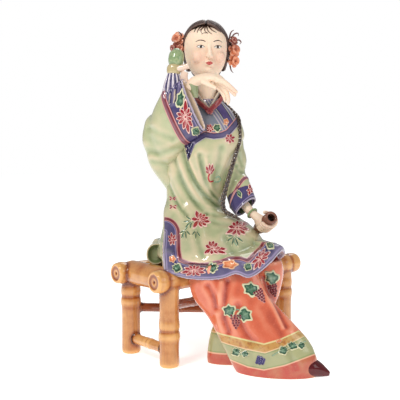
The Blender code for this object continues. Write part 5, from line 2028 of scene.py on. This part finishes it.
# Blossoms: the piece they lie on, their heart, how wide their petals are, and the tip of each petal
BLOSSOMS = (
    ("robe", (198.5, 220), 4.6, (
        (196, 210.5), (201.5, 213), (206, 214.5), (209.5, 218), (211, 222.5), (207, 226.5), (202, 228),
        (193, 229), (191, 219),
    )),
    ("robe", (237, 228), 4.4, (
        (225.5, 234), (228, 227), (232, 222.5), (237, 220.5), (242.5, 221.5), (248, 221.5), (253, 220),
        (249.5, 230), (245.5, 235), (239.5, 236.5), (232, 236),
    )),
    ("robe", (212, 249), 4.4, (
        (204, 254), (205, 245.5), (209, 241), (213.5, 240.5), (218, 243), (221, 248), (227, 249.5),
        (227, 254), (218.5, 254), (211.5, 255),
    )),
    ("robe", (194, 271), 4.0, (
        (180.5, 272.5), (184, 267.5), (189, 265.3), (194.5, 264.6), (200, 265.6), (205.5, 268), (206, 272.5),
        (200.5, 275.5), (193.5, 276), (186, 275.5),
    )),
    ("robe", (260, 258.5), 3.8, (
        (265, 248.5), (270.5, 252), (268, 257.5), (264.5, 264), (259, 268.5), (253.5, 270), (251, 263.5),
        (255, 257.5), (260, 251.5),
    )),
    ("robe", (172.5, 240), 2.8, (
        (171.5, 232.5), (175.5, 235), (176.8, 240), (174.5, 245), (170.5, 245.5), (168.5, 241), (168.5, 236),
    )),
    ("robe", (209.5, 174), 2.8, (
        (206, 170), (206, 165.5), (209.5, 163), (213, 163.5), (214.5, 167.5), (212.5, 171.5),
    )),
    ("robe", (210, 128.6), 2.6, (
        (207, 125), (210.5, 124), (214, 126.5), (214, 130.5), (211, 133), (207, 132), (205.8, 128.5),
    )),
    ("robe", (229.8, 138.6), 2.8, (
        (224.5, 138.4), (226.5, 134.8), (231, 133.8), (235, 137), (234, 142.5), (229.5, 144), (225.5, 142),
    )),
    ("sleeve", (185.5, 117), 4.6, (
        (185.5, 98.5), (189.5, 107.5), (192, 113), (192.3, 120), (193, 127), (189, 134), (183.5, 129.5),
        (178.5, 124), (176.2, 119), (176.5, 113), (180, 108.5),
    )),
    ("left", (250, 190), 2.8, ((249, 184), (252.5, 188), (252, 193), (248.5, 195.5), (246.5, 190.5))),
    ("robe", (172.6, 198.5), 1.7, ((169.4, 196.4), (169.6, 200.6), (176.8, 196.8), (176.4, 200.4))),
    ("robe", (173, 207), 1.7, ((169.6, 205), (169.8, 209), (177.4, 205.6), (176.8, 209.2))),
)
# Sprays of slim leaves on the lap: where they spring from, how wide each leaf is, and its tips
SPRAYS = (
    ((192, 221), 2.0, ((185, 216), (182.5, 222.5), (184.5, 229), (190, 230))),
    ((185.5, 230), 1.9, ((179.5, 234), (181, 240), (186.5, 240.5), (191, 236))),
    ((196, 230.5), 1.7, ((191.5, 236), (195.5, 240.5), (201, 238))),
    ((234.5, 236.5), 2.1, ((226.5, 236.5), (226, 242.5), (231.5, 246.5), (238.5, 247.5), (244, 243))),
)
# Leaves and clouds: pattern, piece, middle, half width and half height, and turn in degrees
PADS = (
    ("leaf", FAN, "robe", (177.5, 268), (5.6, 6.4), -70),
    ("leaf", FAN, "robe", (212, 267.5), (6.4, 7.4), 75),
    ("leaf", FAN, "robe", (248, 267), (4.8, 5.2), -60),
    ("leaf", FAN, "robe", (270, 246), (5.2, 4.6), 30),
    ("leaf", LEAF, "sleeve", (180.5, 99), (4.4, 10.5), 10),
    ("leaf", FAN, "sleeve", (195.5, 131), (5.4, 5.6), 120),
    ("leaf", LEAF, "robe", (217, 128), (4.6, 4.4), 40),
    ("leaf", FAN, "left", (239.5, 194), (2.6, 5.4), -25),
    ("leaf", LEAF, "trousers", (229, 310.5), (6.6, 7.4), -70),
    ("leaf", LEAF, "trousers", (245, 315), (7.6, 8.6), 125),
    ("leaf", LEAF, "trousers", (250.5, 289), (7.2, 9.2), -60),
    ("leaf", LEAF, "trousers", (271.5, 277.5), (7.4, 8.6), -50),
    ("leaf", FAN, "trousers", (236, 352), (5.4, 6.2), 60),
    ("leaf", FAN, "trousers", (245, 353.5), (4.4, 5.2), 110),
    ("leaf", FAN, "trousers", (283, 350.5), (5.6, 6.4), 60),
    ("leaf", FAN, "trousers", (292.5, 346), (6.4, 5.4), 20),
    ("leaf", FAN, "trousers", (301, 345.5), (4.6, 5.0), 80),
    ("cloud", CLOUD, "robe", (230, 264.5), (7.6, 4.4), 0),
    ("cloud", CLOUD, "robe", (172.5, 259), (3.4, 3.4), 0),
    ("cloud", CLOUD, "robe", (226, 122), (2.6, 3.4), 0),
    ("cloud", CLOUD, "trousers", (279, 341), (3.4, 1.6), -18),
    ("ink", POINT, "robe", (189, 151.5), (5.6, 9.5), 4),
)
# Bunches of grapes: their glaze, the top and foot of the bunch in the picture, and its width
BUNCHES = (
    ("grapes", (236, 315), (236, 329.5), 5.6), ("grapes", (257, 290.5), (265, 303), 4.6),
    ("grapes", (271.5, 284.5), (275.5, 297), 4.4), ("blue_grapes", (257, 359.5), (265, 362), 3.4),
)
STEMS = (
    ("blossom", "robe", ((209.3, 174), (208.4, 178), (210, 181.6), (213.6, 181)), 1.6),
    ("leaf", "robe", ((213.6, 181.5), (217.6, 182), (220.6, 179.4), (218.6, 176.4), (215.8, 178)), 1.5),
    ("leaf", "robe", ((193.5, 221), (188, 226), (184, 232), (183.5, 238)), 1.0),
    ("leaf", "robe", ((236, 236), (234, 241), (237, 246)), 1.0),
    ("leaf", "trousers", ((272, 356), (282, 350), (294, 346), (306, 341)), 1.0),
    ("leaf", "trousers", ((232, 349), (240, 354), (249, 355)), 1.0),
    ("leaf", "trousers", ((233, 311), (238, 309.5), (242, 312)), 1.2),
)
CLOTHS = {
    "robe": in_pixels(robe_surface),
    "sleeve": in_pixels(sleeve_surface),
    "left": in_pixels(left_surface),
    "trousers": in_pixels(trouser_surface),
}
slips = {kind: bmesh.new() for kind in ("blossom", "leaf", "cloud", "grapes", "blue_grapes", "ink")}
for cloth, heart, width, tips in BLOSSOMS:
    for tip in tips:
        petal(slips["blossom"], CLOTHS[cloth], heart, tip, width)
    bead(slips["blossom"], CLOTHS[cloth], heart, width * 0.3, 1.0)
for root, width, tips in SPRAYS:
    for tip in tips:
        petal(slips["leaf"], CLOTHS["robe"], root, tip, width)
for kind, pattern, cloth, centre, half, degrees in PADS:
    pad(slips[kind], CLOTHS[cloth], pattern, centre, half, degrees)
for kind, top, foot, width in BUNCHES:
    top, foot = Vector(top), Vector(foot)
    along = foot - top
    across = Vector((-along.y, along.x)).normalized() * width
    rows = (4, 4, 3, 3, 2, 1) if kind == "grapes" else (4, 4, 3)
    for k, count in enumerate(rows):
        for m in range(count):
            side = (m - (count - 1) / 2) / 1.9
            middle = top + along * ((k + 0.3) / len(rows)) + across * side
            bead(slips[kind], CLOTHS["trousers"], middle, 1.5 if kind == "grapes" else 1.9, 1.1)
for kind, cloth, route, width in STEMS:
    stroke(slips[kind], CLOTHS[cloth], route, [width] * len(route), 0.7)


# How far from the middle of a pad its pale outline begins
OUTLINE = 0.78


def slip_glaze(name, ground, outline, crest, pool_and_shade):
    """A glaze inside a pale outline, told apart by how far from the middle of its pad a point lies."""

    def outlined(inside):
        def colour(tree, *_):
            return mix(tree, maths(tree, "GREATER_THAN", stored(tree, "mark"), OUTLINE), inside, outline)

        return colour

    return glaze_material(name, outlined(ground), outlined(crest), pool_and_shade, strength=1.1, clouds=420.0)


# Each kind of slip: its piece, its glaze, its slot and the glaze's ground, outline, crest and pool, the
# pool being both pooled glaze and painted shade in the hollows
SLIP_GLAZES = (
    ("blossoms", "blossom", "blossom_red", "blossom_colour", (
        (150, 16, 34), (240, 196, 186), (190, 50, 56), (84, 6, 18),
    )),
    ("leaves", "leaf", "leaf_green", "band_glaze", (
        (46, 92, 66), (216, 212, 172), (150, 180, 150), (16, 44, 32),
    )),
    ("clouds", "cloud", "cloud_orange", "blossom_colour", (
        (232, 140, 92), (240, 196, 160), (240, 170, 120), (190, 90, 50),
    )),
    ("grapes", "grapes", "grape_red", "blossom_colour", (
        (88, 10, 30), (224, 166, 160), (128, 30, 50), (44, 2, 14),
    )),
    ("yoke_tip", "ink", "yoke_ink", "band_glaze", (
        (44, 42, 84), (120, 110, 140), (70, 66, 110), (24, 22, 48),
    )),
    ("blue_grapes", "blue_grapes", "grape_blue", "band_glaze", (
        (34, 30, 82), (120, 110, 150), (70, 64, 124), (18, 14, 46),
    )),
)
for name, kind, paint, slot, colours in SLIP_GLAZES:
    finish_slip(name, slips[kind], slip_glaze(paint, *[rgb(*colour) for colour in colours]))
